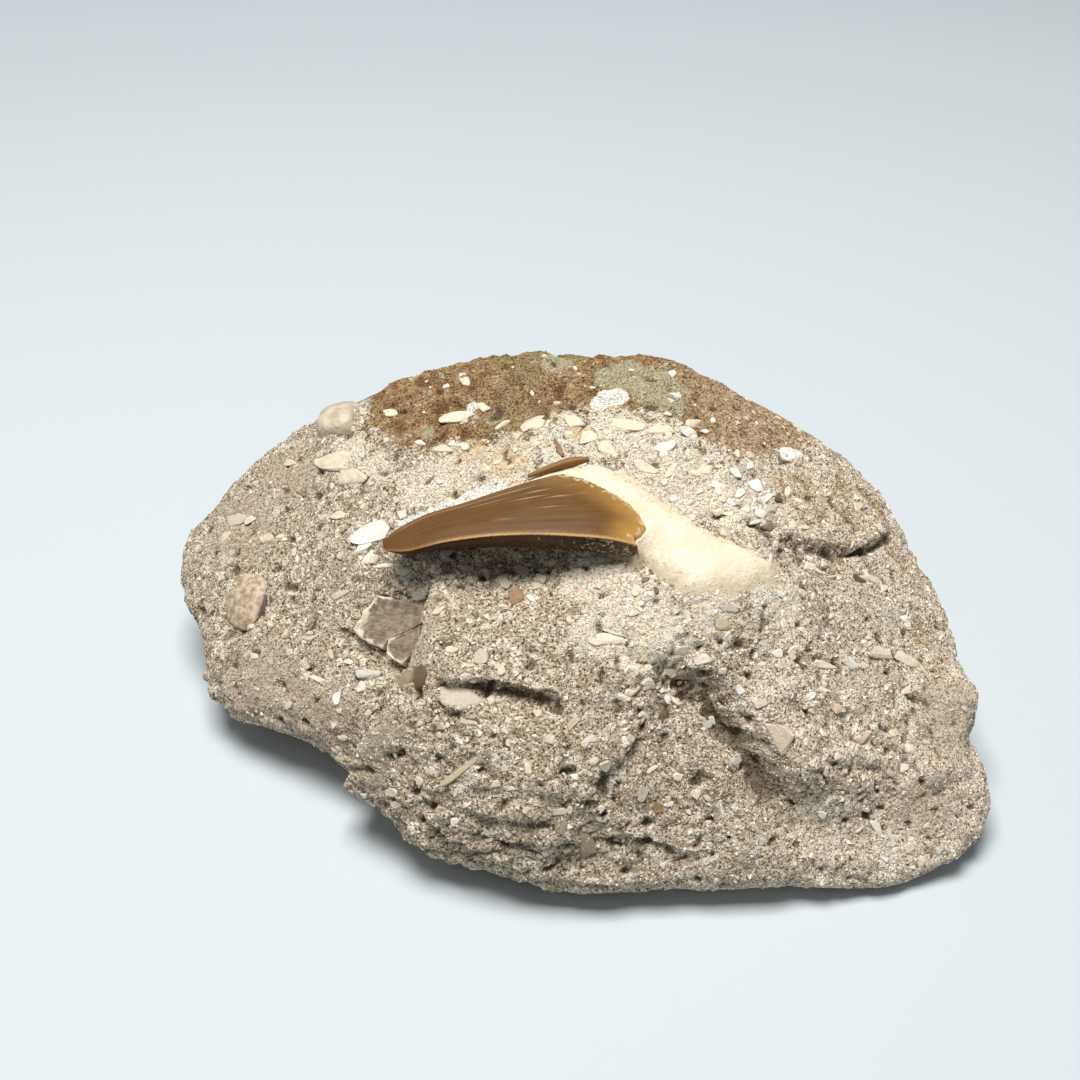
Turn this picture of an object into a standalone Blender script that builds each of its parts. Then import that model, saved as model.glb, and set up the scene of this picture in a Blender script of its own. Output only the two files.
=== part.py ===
"""Fossil shark tooth, still fixed in its lump of loose, sandy phosphate stone.

Everything is in metres with +Z up. The stone lies on its own flat foot at z = 0, its length runs
along X, its steep front faces -Y, and the middle of its footprint is the origin.
"""

import bmesh
import bpy
import numpy as np

# Driving dimensions
GAP = 0.00034  # clearance round every embedded piece
STONE_HEART = np.array([0.002, 0.0, 0.010])  # the point inside the stone that its radius is measured from
STONE_PLUMP = np.array([1.0, 1.3, 2.0])  # scale that makes the flat stone nearly round, to measure radii in
STONE_CELLS = 22  # faces along one side of each of the stone's six patches
STONE_CLOSER = np.array([0.10, -0.16, 0.14])  # draws its faces closer together on top and in front
EDGE_ROUNDING = 0.005  # softens the corner between the stone's skin and its flat foot
CROWN_BULGE = 0.0009  # how far the tooth's flatter face swells
CROWN_KEEL = 0.0064  # how far its rounder underside swells
CROWN_FLATTENING = 4.0  # how soon its flatter face levels out towards the tip
KEEL_SHARE = 1.06  # how full the underside is at the hidden end
KEEL_POWER = 2.2  # how late it thins towards the tip
CROWN_ROWS = 26
CROWN_ACROSS = 9
FILLER_DEPTH = 0.0016  # how far the putty reaches into the stone

# Places on the stone's skin, in metres. The skyline runs over the top from the left end to the right.
SKYLINE = (
    (-0.0597, 0.0095, 0.016), (-0.058, 0.015, 0.02), (-0.053, 0.0205, 0.024), (-0.047, 0.024, 0.028),
    (-0.0395, 0.027, 0.032), (-0.03, 0.0265, 0.037), (-0.0225, 0.028, 0.04), (-0.0135, 0.027, 0.0435),
    (-0.0055, 0.0265, 0.0454), (0.004, 0.024, 0.0457), (0.013, 0.023, 0.047), (0.0185, 0.0215, 0.0458),
    (0.024, 0.0205, 0.043), (0.0315, 0.0195, 0.04), (0.0385, 0.017, 0.0365), (0.044, 0.0135, 0.0335),
    (0.0485, 0.011, 0.03), (0.051, 0.0075, 0.027), (0.0525, 0.0035, 0.025), (0.055, -0.001, 0.022),
    (0.0567, -0.007, 0.019), (0.0577, -0.014, 0.0168), (0.0577, -0.0195, 0.0145),
)
# The lower edge, from the right end round the front to the left end.
HEM = (
    (0.0575, -0.025, 0.012), (0.0609, -0.0291, 0.0075), (0.059, -0.0337, 0.005), (0.054, -0.0378, 0.0035),
    (0.0463, -0.0412, 0.003), (0.0352, -0.0417, 0.0025), (0.0211, -0.0419, 0.0022),
    (0.0101, -0.0424, 0.0022), (-0.001, -0.0426, 0.0028), (-0.0091, -0.0406, 0.0032),
    (-0.0172, -0.038, 0.004), (-0.0224, -0.034, 0.0048), (-0.0249, -0.0284, 0.0052),
    (-0.031, -0.0252, 0.0054), (-0.0363, -0.0179, 0.006), (-0.045, -0.0146, 0.0056),
    (-0.0509, -0.01, 0.0058), (-0.0546, -0.0044, 0.0066), (-0.0554, 0.0004, 0.0085),
    (-0.0587, 0.0063, 0.011),
)
# The top and front, in columns that run from the back edge down to the front edge.
FACE = (
    (-0.05, 0.0115, 0.0225), (-0.049, 0.0015, 0.019), (-0.0485, -0.006, 0.016), (-0.0475, -0.013, 0.0125),
    (-0.0405, 0.016, 0.029), (-0.0395, 0.005, 0.026), (-0.039, -0.0035, 0.0215), (-0.0385, -0.012, 0.0175),
    (-0.038, -0.018, 0.0135),
    (-0.0245, 0.015, 0.0375), (-0.024, 0.004, 0.0345), (-0.0238, -0.0045, 0.0323), (-0.0233, -0.0106, 0.028),
    (-0.023, -0.0165, 0.024), (-0.023, -0.025, 0.0225), (-0.0225, -0.031, 0.017),
    (-0.0125, 0.0145, 0.0415), (-0.0125, 0.006, 0.0385), (-0.012, -0.0015, 0.0355),
    (-0.0119, -0.0083, 0.0317), (-0.0115, -0.018, 0.031), (-0.0115, -0.0265, 0.028), (-0.0115, -0.033, 0.023),
    (-0.0115, -0.038, 0.017), (-0.0115, -0.041, 0.01),
    (0.0055, 0.014, 0.0455), (0.005, 0.005, 0.043), (0.005, -0.002, 0.0395), (0.005, -0.0105, 0.0355),
    (0.0045, -0.0195, 0.0325), (0.0045, -0.027, 0.0285), (0.0045, -0.0335, 0.0235), (0.0045, -0.0385, 0.0175),
    (0.0045, -0.0415, 0.01),
    (0.02, 0.011, 0.044), (0.0195, 0.002, 0.0415), (0.019, -0.006, 0.039), (0.0185, -0.014, 0.0365),
    (0.018, -0.02, 0.033), (0.018, -0.0265, 0.028), (0.018, -0.032, 0.022), (0.018, -0.037, 0.016),
    (0.018, -0.0415, 0.0095),
    (0.0345, 0.005, 0.0375), (0.0335, -0.004, 0.0355), (0.033, -0.013, 0.032), (0.032, -0.0205, 0.028),
    (0.0315, -0.0285, 0.024), (0.0315, -0.034, 0.0185), (0.0315, -0.0385, 0.0115),
    (0.046, -0.0025, 0.0285), (0.045, -0.0115, 0.025), (0.0445, -0.0195, 0.021), (0.0435, -0.0275, 0.017),
    (0.0435, -0.0335, 0.0115), (0.0435, -0.0375, 0.006),
    (0.0545, -0.013, 0.0185), (0.053, -0.022, 0.0155), (0.0525, -0.0295, 0.0115), (0.052, -0.035, 0.007),
)
# The back: a row just behind the skyline, the bulge under it, and the side of the foot.
BACK = (
    (-0.053, 0.0235, 0.018), (-0.045, 0.03, 0.0235), (-0.03, 0.033, 0.032), (-0.014, 0.0335, 0.038),
    (-0.006, 0.032, 0.0405), (0.005, 0.03, 0.0405), (0.014, 0.029, 0.0415), (0.026, 0.0255, 0.0375),
    (0.041, 0.021, 0.0305), (0.052, 0.011, 0.0225),
    (-0.038, 0.037, 0.018), (-0.02, 0.0402, 0.022), (0.0, 0.041, 0.026), (0.018, 0.0376, 0.027),
    (0.032, 0.032, 0.024), (0.044, 0.024, 0.02), (0.053, 0.013, 0.014),
    (-0.049, 0.022, 0.006), (-0.036, 0.0325, 0.006), (-0.014, 0.039, 0.008), (0.008, 0.04, 0.008),
    (0.03, 0.035, 0.007), (0.046, 0.022, 0.006), (0.0555, 0.004, 0.01),
)
# Where the left end and the right corner curl in under the stone, and the foot that it lies on.
UNDERSIDE = (
    (0.0565, -0.006, 0.011), (0.0568, -0.013, 0.0085), (0.0568, -0.02, 0.006), (0.0592, -0.0285, 0.003),
    (-0.0572, 0.0075, 0.0065), (-0.0545, 0.0015, 0.004), (-0.0495, -0.006, 0.003), (-0.0435, -0.0105, 0.0028),
    (-0.0365, -0.0145, 0.0028), (-0.03, -0.0205, 0.0028), (-0.052, 0.009, 0.0), (-0.0455, -0.002, 0.0),
    (-0.034, -0.009, 0.0), (-0.04, 0.014, -0.001), (-0.022, 0.03, -0.001), (0.004, 0.034, -0.001),
    (0.028, 0.028, -0.001), (0.042, 0.012, -0.001), (0.048, -0.01, -0.001), (0.048, -0.029, -0.001),
    (0.03, -0.035, -0.001), (0.004, -0.035, -0.001), (-0.014, -0.031, -0.001), (-0.024, -0.02, -0.001),
    (-0.038, -0.003, -0.001), (0.0, 0.005, -0.004), (-0.02, 0.01, -0.004), (0.022, 0.005, -0.004),
    (0.02, -0.015, -0.004),
)

# Steps: (path, rise, run). Ground on the left of the path stands higher by the rise.
STEPS = (
    (((-0.018, -0.0085, 0.029), (-0.0188, -0.0125, 0.0285), (-0.0191, -0.0164, 0.0285),
      (-0.0211, -0.0214, 0.0263), (-0.024, -0.0248, 0.0232), (-0.0281, -0.0268, 0.0157),
      (-0.0293, -0.029, 0.011), (-0.03, -0.03, 0.005)),
     0.0042, 0.0012),
    (((0.028, -0.008, 0.0365), (0.033, -0.007, 0.0345), (0.04, -0.004, 0.031), (0.05, 0.005, 0.028)),
     0.0028, 0.0009),
    (((-0.019, -0.0265, 0.0245), (-0.013, -0.0275, 0.0275), (-0.004, -0.0295, 0.0275)), 0.002, 0.0009),
    (((0.0295, -0.0285, 0.025), (0.035, -0.027, 0.022), (0.0395, -0.0265, 0.0195), (0.046, -0.024, 0.0185)),
     0.0018, 0.0009),
    (((-0.048, -0.004, 0.0175), (-0.054, -0.0045, 0.0135)), 0.0014, 0.001),
    (((-0.0165, -0.0395, 0.012), (-0.009, -0.0415, 0.011), (0.001, -0.0425, 0.011)), 0.0014, 0.001),
    (((0.03, 0.033, 0.021), (0.012, 0.0395, 0.024), (-0.008, 0.0415, 0.021), (-0.028, 0.039, 0.016)),
     0.003, 0.0012),
    (((0.052, 0.014, 0.015), (0.044, 0.024, 0.022), (0.033, 0.029, 0.029)), 0.0022, 0.0012),
)
STEP_REACH = 0.0075  # how far from a step the ground eases back to the smooth skin
STEP_FADE = 6  # a step dies away over one part in this many of its length, at either end
GROOVE_FADE = 5

# Grooves: (path, depth, half width)
GROOVES = (
    (((0.0145, -0.0255, 0.0285), (0.0185, -0.029, 0.0255), (0.0235, -0.0335, 0.0205),
      (0.028, -0.0365, 0.0155), (0.035, -0.0405, 0.0085)), 0.0042, 0.0032),
    (((0.024, -0.007, 0.038), (0.028, -0.0085, 0.0365), (0.033, -0.0075, 0.0345), (0.04, -0.0045, 0.0315),
      (0.05, 0.005, 0.028)), 0.0016, 0.001),
    (((-0.015, -0.0095, 0.0305), (-0.007, -0.0088, 0.032), (0.002, -0.0095, 0.0335)), 0.001, 0.0038),
)
# Lumps, and pits where the height is negative: (middle, height, radius)
LUMPS = (
    ((-0.0035, 0.026, 0.0465), 0.001, 0.0022),
    ((0.057, -0.017, 0.016), 0.0012, 0.0036),
    ((0.058, -0.023, 0.013), 0.0008, 0.003),
    ((-0.015, -0.0275, 0.0255), 0.0012, 0.0024),
    ((0.0135, -0.0295, 0.0245), -0.0014, 0.0016),
    ((-0.0105, 0.016, 0.043), -0.0012, 0.0016),
    ((-0.033, -0.01, 0.02), 0.0012, 0.006),
    ((-0.05, 0.007, 0.021), 0.001, 0.007),
    ((0.031, -0.033, 0.019), 0.0014, 0.004),
    ((-0.04, 0.033, 0.012), -0.0018, 0.008),
    ((0.018, 0.039, 0.012), -0.0016, 0.009),
)
ROUGHNESS = ((0.0150, 0.00060), (0.0062, 0.00034))  # (lump size, height) of the stone's even unevenness

# The crown's two cutting edges, from the hidden end to the tip.
CROWN_LOWER = (
    (0.0146, -0.009, 0.0352), (0.0128, -0.0112, 0.038), (0.01, -0.0123, 0.0397), (0.006, -0.0122, 0.0408),
    (0.0012, -0.0118, 0.041), (-0.0042, -0.011, 0.0406), (-0.0104, -0.0104, 0.0398), (-0.0166, -0.01, 0.0384),
    (-0.0218, -0.0098, 0.0366), (-0.0252, -0.0084, 0.0354),
)
CROWN_UPPER = (
    (0.0138, 0.002, 0.0355), (0.0106, 0.0035, 0.0388), (0.0056, 0.004, 0.0408), (0.0, 0.0016, 0.0414),
    (-0.0042, 0.0006, 0.041), (-0.0092, -0.0006, 0.04), (-0.0146, -0.002, 0.0388), (-0.0198, -0.0028, 0.0374),
    (-0.024, -0.0046, 0.036), (-0.0258, -0.0064, 0.0353),
)

# The putty's edge on the stone, and the ridge of it that was pressed against the tooth's base.
FILLER_EDGE = (
    (-0.0135, 0.0022, 0.037), (-0.0064, 0.006, 0.0408), (0.002, 0.0078, 0.0433), (0.009, 0.0058, 0.0431),
    (0.0145, 0.0008, 0.041), (0.021, -0.005, 0.0388), (0.0262, -0.0078, 0.0365), (0.0307, -0.0103, 0.034),
    (0.0285, -0.0145, 0.034), (0.0215, -0.0175, 0.0345), (0.015, -0.0174, 0.035), (0.0095, -0.0156, 0.0353),
    (0.004, -0.013, 0.035), (0.0, -0.0085, 0.0345), (-0.006, -0.003, 0.0345), (-0.012, -0.0002, 0.0362),
)
FILLER_RIDGE = (
    (-0.0115, 0.0008, 0.0385), (-0.004, 0.0026, 0.041), (0.004, 0.0036, 0.0422), (0.0095, 0.0, 0.0412),
    (0.0125, -0.005, 0.04), (0.013, -0.0105, 0.0385),
)
FILLER_MIDDLE = (0.0150, -0.0085, 0.0385)
FILLER_RINGS = (0.12, 0.34, 0.56, 0.76, 0.91, 1.0)  # share of the way from its middle to its edge
RIDGE_HEIGHT = 0.0026
RIDGE_SPREAD = 0.0032
APRON_HEIGHT = 0.0008
EDGE_SINK = 0.0002  # how far the rim of the putty lies below the stone's skin
EDGE_DEPTH = 0.3  # how thick the putty is at its rim, beside its middle

# The sliver of enamel bedded in the putty behind the tooth, from end to end.
SPLINTER = (
    (-0.0052, 0.0021, 0.0405), (-0.0007, 0.0033, 0.0416), (0.0015, 0.0037, 0.042), (0.0035, 0.0038, 0.0423),
)
SPLINTER_WIDTH = 0.0018
SPLINTER_DEPTH = 0.0026
SPLINTER_ROWS = 12
SPLINTER_AROUND = 8
SPLINTER_ENDS = (0.06, 0.94)  # share of half a wave at its two ends, which sets how blunt they are

# Outlines of the two flat pieces of bone, and their thickness; each lies level with the stone around it.
PLATE_UPPER = (
    (-0.0301, -0.0109, 0.0225), (-0.0284, -0.0091, 0.0246), (-0.0267, -0.0079, 0.0262),
    (-0.0231, -0.0089, 0.0263), (-0.02, -0.0102, 0.0264), (-0.0197, -0.0122, 0.0254),
    (-0.0218, -0.0128, 0.0243), (-0.0232, -0.0129, 0.0236), (-0.025, -0.013, 0.0226),
    (-0.0257, -0.0138, 0.0218), (-0.0278, -0.0128, 0.0217), (-0.0293, -0.0118, 0.022),
)
PLATE_LOWER = (
    (-0.0247, -0.0143, 0.0224), (-0.0226, -0.0141, 0.0235), (-0.0202, -0.0138, 0.0249),
    (-0.0201, -0.0155, 0.0243), (-0.0212, -0.0168, 0.023), (-0.0226, -0.0176, 0.0219),
    (-0.024, -0.0166, 0.0215),
)
PLATE_THICKNESS = 0.0016
PLATE_TOP_SHARE = 0.86  # how wide a plate's level top is, beside its rim
PLATE_LEVELS = (0.35, 0.1, -0.65)  # its top, its rim and its foot above the outline, in thicknesses

# The pebble and the shell: middle, radii, and the way the third radius points.
PEBBLE_MIDDLE = (-0.0348, 0.0248, 0.0340)
PEBBLE_RADII = (0.0036, 0.0042, 0.0032)
PEBBLE_LEAN = (-0.3, 0.2, 1)
SHELL_MIDDLE = (-0.0476, -0.0003, 0.0184)
SHELL_RADII = (0.0038, 0.0046, 0.0016)
SHELL_LEAN = (-0.4, -0.5, 1)


def smooth_path(places, count):
    """count points on a Catmull-Rom curve that passes through the places, evenly spaced by parameter."""
    places = np.array(places, dtype=float)
    ends = np.vstack([2 * places[0] - places[1], places, 2 * places[-1] - places[-2]])
    s = np.linspace(0, len(places) - 1, count)
    i = np.minimum(s.astype(int), len(places) - 2)
    f = (s - i)[:, None]
    a, b, c, d = (ends[i + k] for k in range(4))
    return 0.5 * (2 * b + (c - a) * f + (2 * a - 5 * b + 4 * c - d) * f**2 + (3 * b - a - 3 * c + d) * f**3)


def spread(a, b):
    """Cube of the chord between unit directions, softened near zero: the kernel that bends the skin least."""
    return np.sqrt(np.maximum(2 - 2 * a @ b.T, 0) + 0.05**2) ** 3


def fit_skin(places):
    """Weights of the smoothest radius over all directions that passes (nearly) through the places."""
    arms = (np.array(places) - STONE_HEART) * STONE_PLUMP
    reach = np.linalg.norm(arms, axis=1)
    arms /= reach[:, None]
    n = len(reach)
    system = np.zeros((n + 4, n + 4))
    system[:n, :n] = spread(arms, arms) + 0.0004 * np.eye(n)
    system[:n, n] = system[n, :n] = 1
    system[:n, n + 1:] = arms
    system[n + 1:, :n] = arms.T
    return arms, np.linalg.solve(system, np.concatenate([reach, np.zeros(4)]))


def lumpiness(points, size, seed):
    """Gradient noise from -1 to 1: each corner of a lattice of the given size has its own random slope."""
    slopes = np.random.default_rng(seed).normal(size=(4096, 3))
    cell = np.floor(points / size).astype(int)
    f = points / size - cell
    ease = f * f * f * (f * (f * 6 - 15) + 10)
    total = np.zeros(len(points))
    for corner in np.ndindex(2, 2, 2):
        corner = np.array(corner)
        key = (cell + corner) @ np.array([73, 179, 283]) % 4096
        weight = np.prod(np.where(corner == 1, ease, 1 - ease), axis=1)
        total += weight * np.sum(slopes[key] * (f - corner), axis=1)
    return total


def beside(points, path):
    """Nearest place on a path, for each point: distance, distance to the left, and share of the way."""
    path = smooth_path(path, 5 * len(path))
    start, leg = path[:-1], np.diff(path, axis=0)
    arm = points[:, None] - start
    share = np.clip(np.einsum("psk,sk->ps", arm, leg) / np.sum(leg**2, axis=1), 0, 1)
    off = arm - share[..., None] * leg
    gap = np.linalg.norm(off, axis=2)
    near = gap.argmin(axis=1)
    row = np.arange(len(points))
    left = np.cross(start[near] - STONE_HEART, leg[near])
    side = np.sum(off[row, near] * left, axis=1) / np.linalg.norm(left, axis=1)
    return gap[row, near], side, (near + share[row, near]) / len(leg)


def stone_skin(arms, skin):
    """Places on the stone along each arm: smooth skin, then steps, grooves, lumps, pits and flat foot."""
    fitted, weights = skin
    n = len(fitted)
    reach = spread(arms, fitted) @ weights[:n] + weights[n] + arms @ weights[n + 1:]
    points = STONE_HEART + arms * reach[:, None] / STONE_PLUMP
    rise = np.zeros(len(arms))
    for path, height, run in STEPS:
        gap, side, share = beside(points, path)
        fade = np.clip(np.minimum(share, 1 - share) * STEP_FADE, 0, 1)
        rise += height * np.tanh(side / run) * np.exp(-(gap / STEP_REACH) ** 2) * fade / 2
    for path, depth, width in GROOVES:
        gap, side, share = beside(points, path)
        fade = np.clip(np.minimum(share, 1 - share) * GROOVE_FADE, 0, 1)
        rise -= depth * np.exp(-(gap / width) ** 2) * fade
    for middle, height, radius in LUMPS:
        rise += height * np.exp(-np.sum((points - middle) ** 2, axis=1) / radius**2)
    for seed, (size, height) in enumerate(ROUGHNESS):
        rise += height * lumpiness(points, size, seed)
    reach += rise / np.linalg.norm(arms / STONE_PLUMP, axis=1)
    ground = STONE_HEART[2] * STONE_PLUMP[2] / np.maximum(-arms[:, 2], 0.1)
    near = np.maximum(EDGE_ROUNDING - np.abs(reach - ground), 0)
    reach = np.minimum(reach, ground) - near**2 / EDGE_ROUNDING / 4
    return STONE_HEART + arms * reach[:, None] / STONE_PLUMP


def coordinates(mesh):
    flat = np.empty(len(mesh.vertices) * 3)
    mesh.vertices.foreach_get("co", flat)
    return flat.reshape(-1, 3)


def move_to(mesh, points):
    mesh.vertices.foreach_set("co", np.asarray(points, dtype=np.float32).ravel())
    mesh.update()


def material(name, colour, roughness):
    made = bpy.data.materials.new(name)
    made.use_nodes = True
    shader = made.node_tree.nodes["Principled BSDF"]
    shader.inputs["Base Color"].default_value = (*colour, 1)
    shader.inputs["Roughness"].default_value = roughness
    return made


def add_object(name, mesh, finish):
    thing = bpy.data.objects.new(name, mesh)
    bpy.context.scene.collection.objects.link(thing)
    if finish:
        mesh.materials.append(finish)
    mesh.shade_smooth()
    return thing


def closed_mesh(name, points, faces):
    """A mesh whose faces all point outwards."""
    mesh = bpy.data.meshes.new(name)
    mesh.from_pydata(np.asarray(points).tolist(), [], faces)
    work = bmesh.new()
    work.from_mesh(mesh)
    bmesh.ops.recalc_face_normals(work, faces=work.faces)
    work.to_mesh(mesh)
    work.free()
    return mesh


def unit(vectors):
    return vectors / np.linalg.norm(vectors, axis=-1, keepdims=True)


def loft(name, rings):
    """A closed body over rows of points that each run round it, with a fan over each end row."""
    rows, around = rings.shape[:2]
    points = np.vstack([rings.reshape(-1, 3), rings[0].mean(axis=0), rings[-1].mean(axis=0)])
    faces = []
    for i in range(around):
        j = (i + 1) % around
        for row in range(rows - 1):
            low, high = row * around, (row + 1) * around
            faces.append((low + i, low + j, high + j, high + i))
        last = (rows - 1) * around
        faces.append((i, j, rows * around))
        faces.append((last + j, last + i, rows * around + 1))
    return closed_mesh(name, points, faces)


def seat(piece, bodies):
    """Cuts room for a piece out of each body that holds it: the piece grown by the gap along its normals."""
    mesh = piece.data.copy()
    normals = np.array([vertex.normal for vertex in mesh.vertices])
    move_to(mesh, coordinates(mesh) + normals * GAP)
    cutter = add_object(piece.name + "_seat", mesh, None)
    cutter.hide_render = True
    cutter.display_type = "WIRE"
    for body in bodies:
        cut = body.modifiers.new(piece.name, "BOOLEAN")
        cut.operation = "DIFFERENCE"
        cut.solver = "EXACT"
        cut.object = cutter


def build_stone(finish):
    """Six patches of a cube, blown out to the stone's skin, finer on the top and the front."""
    work = bmesh.new()
    bmesh.ops.create_cube(work, size=2)
    bmesh.ops.subdivide_edges(work, edges=work.edges, cuts=STONE_CELLS - 1, use_grid_fill=True)
    mesh = bpy.data.meshes.new("matrix")
    work.to_mesh(mesh)
    work.free()
    arms = unit(unit(np.tan(coordinates(mesh) * np.pi / 4)) + STONE_CLOSER)
    skin = fit_skin(SKYLINE + HEM + FACE + BACK + UNDERSIDE)
    move_to(mesh, stone_skin(arms, skin))
    work = bmesh.new()
    work.from_mesh(mesh)
    bmesh.ops.triangulate(work, faces=work.faces, quad_method="SHORT_EDGE")
    work.to_mesh(mesh)
    work.free()
    return add_object("matrix", mesh, finish), skin


def build_crown(finish):
    """Rows across the tooth from hidden end to tip. Each swells a little above the line between its two
    cutting edges and much more below it, so the section is a rounded D with sharp corners."""
    lower = smooth_path(CROWN_LOWER, CROWN_ROWS)[:, None]
    upper = smooth_path(CROWN_UPPER, CROWN_ROWS)[:, None]
    t = np.linspace(0, 1, CROWN_ROWS)[:, None, None]
    q = np.cos(np.linspace(np.pi, 0, CROWN_ACROSS))[None, :, None]
    flat = lower + (upper - lower) * (q + 1) / 2
    top = flat + np.array([0, 0, CROWN_BULGE]) * (1 - q**2) * np.minimum(1, CROWN_FLATTENING * (1.05 - t))
    round_section = np.sqrt(np.maximum(1 - q**2, 0))
    under = flat - np.array([0, 0, CROWN_KEEL]) * round_section * (KEEL_SHARE - t**KEEL_POWER)
    rings = np.concatenate([top, under[:, -2:0:-1]], axis=1)
    return add_object("tooth_crown", loft("tooth_crown", rings), finish)


def build_filler(finish, skin):
    """A pad of putty: rings that shrink from its edge to its middle, over the stone and back under it."""
    edge = unit((np.array(FILLER_EDGE) - STONE_HEART) * STONE_PLUMP)
    middle = unit((np.array(FILLER_MIDDLE) - STONE_HEART) * STONE_PLUMP)
    edge = unit(smooth_path(np.vstack([edge, edge[:1]]), 3 * len(edge) + 1)[:-1])
    top, under = [], []
    for share in FILLER_RINGS:
        arms = unit(middle + (edge - middle) * share)
        ground = stone_skin(arms, skin)
        out = unit(ground - STONE_HEART)
        gap = beside(ground, FILLER_RIDGE)[0][:, None]
        pad = APRON_HEIGHT + RIDGE_HEIGHT * np.exp(-(gap / RIDGE_SPREAD) ** 2)
        fade = np.sqrt(1 - share**4)
        top.append(ground + out * (pad * fade - EDGE_SINK))
        under.insert(0, ground - out * FILLER_DEPTH * (EDGE_DEPTH + (1 - EDGE_DEPTH) * fade))
    return add_object("filler", loft("filler", np.array(top + under)), finish)


def build_splinter(finish):
    """A blade of enamel, widest in its middle and pointed at both ends."""
    path = smooth_path(SPLINTER, SPLINTER_ROWS)
    taper = np.sqrt(np.sin(np.linspace(*SPLINTER_ENDS, SPLINTER_ROWS) * np.pi))[:, None, None]
    across = unit(np.cross(np.gradient(path, axis=0), [0, 0, 1]))[:, None]
    turn = np.linspace(0, 2 * np.pi, SPLINTER_AROUND, endpoint=False)[None, :, None]
    rings = across * np.cos(turn) * SPLINTER_WIDTH / 2 + np.array([0, 0, SPLINTER_DEPTH / 2]) * np.sin(turn)
    return add_object("tooth_splinter", loft("tooth_splinter", path[:, None] + rings * taper), finish)


def build_plate(name, outline, finish):
    """A flat chip with a bevelled rim, its faces square to the line out of the stone."""
    rim = np.array(outline)
    middle = rim.mean(axis=0)
    out = unit(np.linalg.svd(rim - middle)[2][2])
    out *= np.sign(out[2])
    level, brink, foot = (out * share * PLATE_THICKNESS for share in PLATE_LEVELS)
    rings = [middle + (rim - middle) * PLATE_TOP_SHARE + level, rim + brink, rim + foot]
    return add_object(name, loft(name, np.array(rings)), finish)


def build_nodule(name, middle, radii, lean, finish):
    """A rounded lump bedded in the stone: a ball drawn out to three radii, its third axis along the lean."""
    work = bmesh.new()
    bmesh.ops.create_uvsphere(work, u_segments=16, v_segments=10, radius=1)
    mesh = bpy.data.meshes.new(name)
    work.to_mesh(mesh)
    work.free()
    up = unit(np.array(lean))
    along = unit(np.cross([0, 1, 0], up))
    frame = np.array([along, np.cross(up, along), up])
    move_to(mesh, np.array(middle) + coordinates(mesh) * np.array(radii) @ frame)
    return add_object(name, mesh, finish)


for thing in list(bpy.data.objects):
    bpy.data.objects.remove(thing)

sandstone = material("sandstone", (0.40, 0.31, 0.22), 0.95)
enamel = material("enamel", (0.20, 0.105, 0.035), 0.25)
putty = material("putty", (0.76, 0.66, 0.50), 0.9)
bone = material("bone", (0.27, 0.22, 0.17), 0.6)
flint = material("flint", (0.55, 0.48, 0.38), 0.6)

stone, stone_fit = build_stone(sandstone)
filler = build_filler(putty, stone_fit)
crown = build_crown(enamel)
splinter = build_splinter(enamel)
plates = [
    build_plate("bone_plate_upper", PLATE_UPPER, bone),
    build_plate("bone_plate_lower", PLATE_LOWER, bone),
]
pebble = build_nodule("pebble", PEBBLE_MIDDLE, PEBBLE_RADII, PEBBLE_LEAN, flint)
shell = build_nodule("shell_fragment", SHELL_MIDDLE, SHELL_RADII, SHELL_LEAN, bone)

for tooth_piece in (crown, splinter):
    seat(tooth_piece, [stone, filler])
for bedded in (filler, *plates, pebble, shell):
    seat(bedded, [stone])
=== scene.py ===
"""Fossil shark tooth in its lump of sandy phosphate stone, lying on a pale table under soft light.

Metres, +Z up, the stone's flat foot at z = 0 and its steep front facing -Y.
"""

import bpy
import numpy as np
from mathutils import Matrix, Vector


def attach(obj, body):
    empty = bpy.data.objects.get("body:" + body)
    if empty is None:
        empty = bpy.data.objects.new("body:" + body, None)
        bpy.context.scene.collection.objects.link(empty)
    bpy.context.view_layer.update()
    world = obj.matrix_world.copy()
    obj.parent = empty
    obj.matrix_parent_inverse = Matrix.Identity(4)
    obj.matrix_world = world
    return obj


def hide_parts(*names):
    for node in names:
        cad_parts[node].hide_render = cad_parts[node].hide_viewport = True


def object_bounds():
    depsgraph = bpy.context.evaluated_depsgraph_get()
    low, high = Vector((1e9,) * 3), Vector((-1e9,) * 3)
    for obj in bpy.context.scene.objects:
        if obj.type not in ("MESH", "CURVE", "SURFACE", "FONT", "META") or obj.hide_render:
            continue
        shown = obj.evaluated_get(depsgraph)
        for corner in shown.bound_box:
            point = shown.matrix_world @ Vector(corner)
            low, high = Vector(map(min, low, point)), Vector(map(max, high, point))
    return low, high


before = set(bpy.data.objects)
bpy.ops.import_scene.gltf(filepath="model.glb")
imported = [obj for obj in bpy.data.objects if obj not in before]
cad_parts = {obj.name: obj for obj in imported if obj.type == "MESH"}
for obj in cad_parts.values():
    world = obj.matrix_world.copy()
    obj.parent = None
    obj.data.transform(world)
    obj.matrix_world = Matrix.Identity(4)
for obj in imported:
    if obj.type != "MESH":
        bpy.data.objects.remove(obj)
cad_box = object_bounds()


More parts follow.
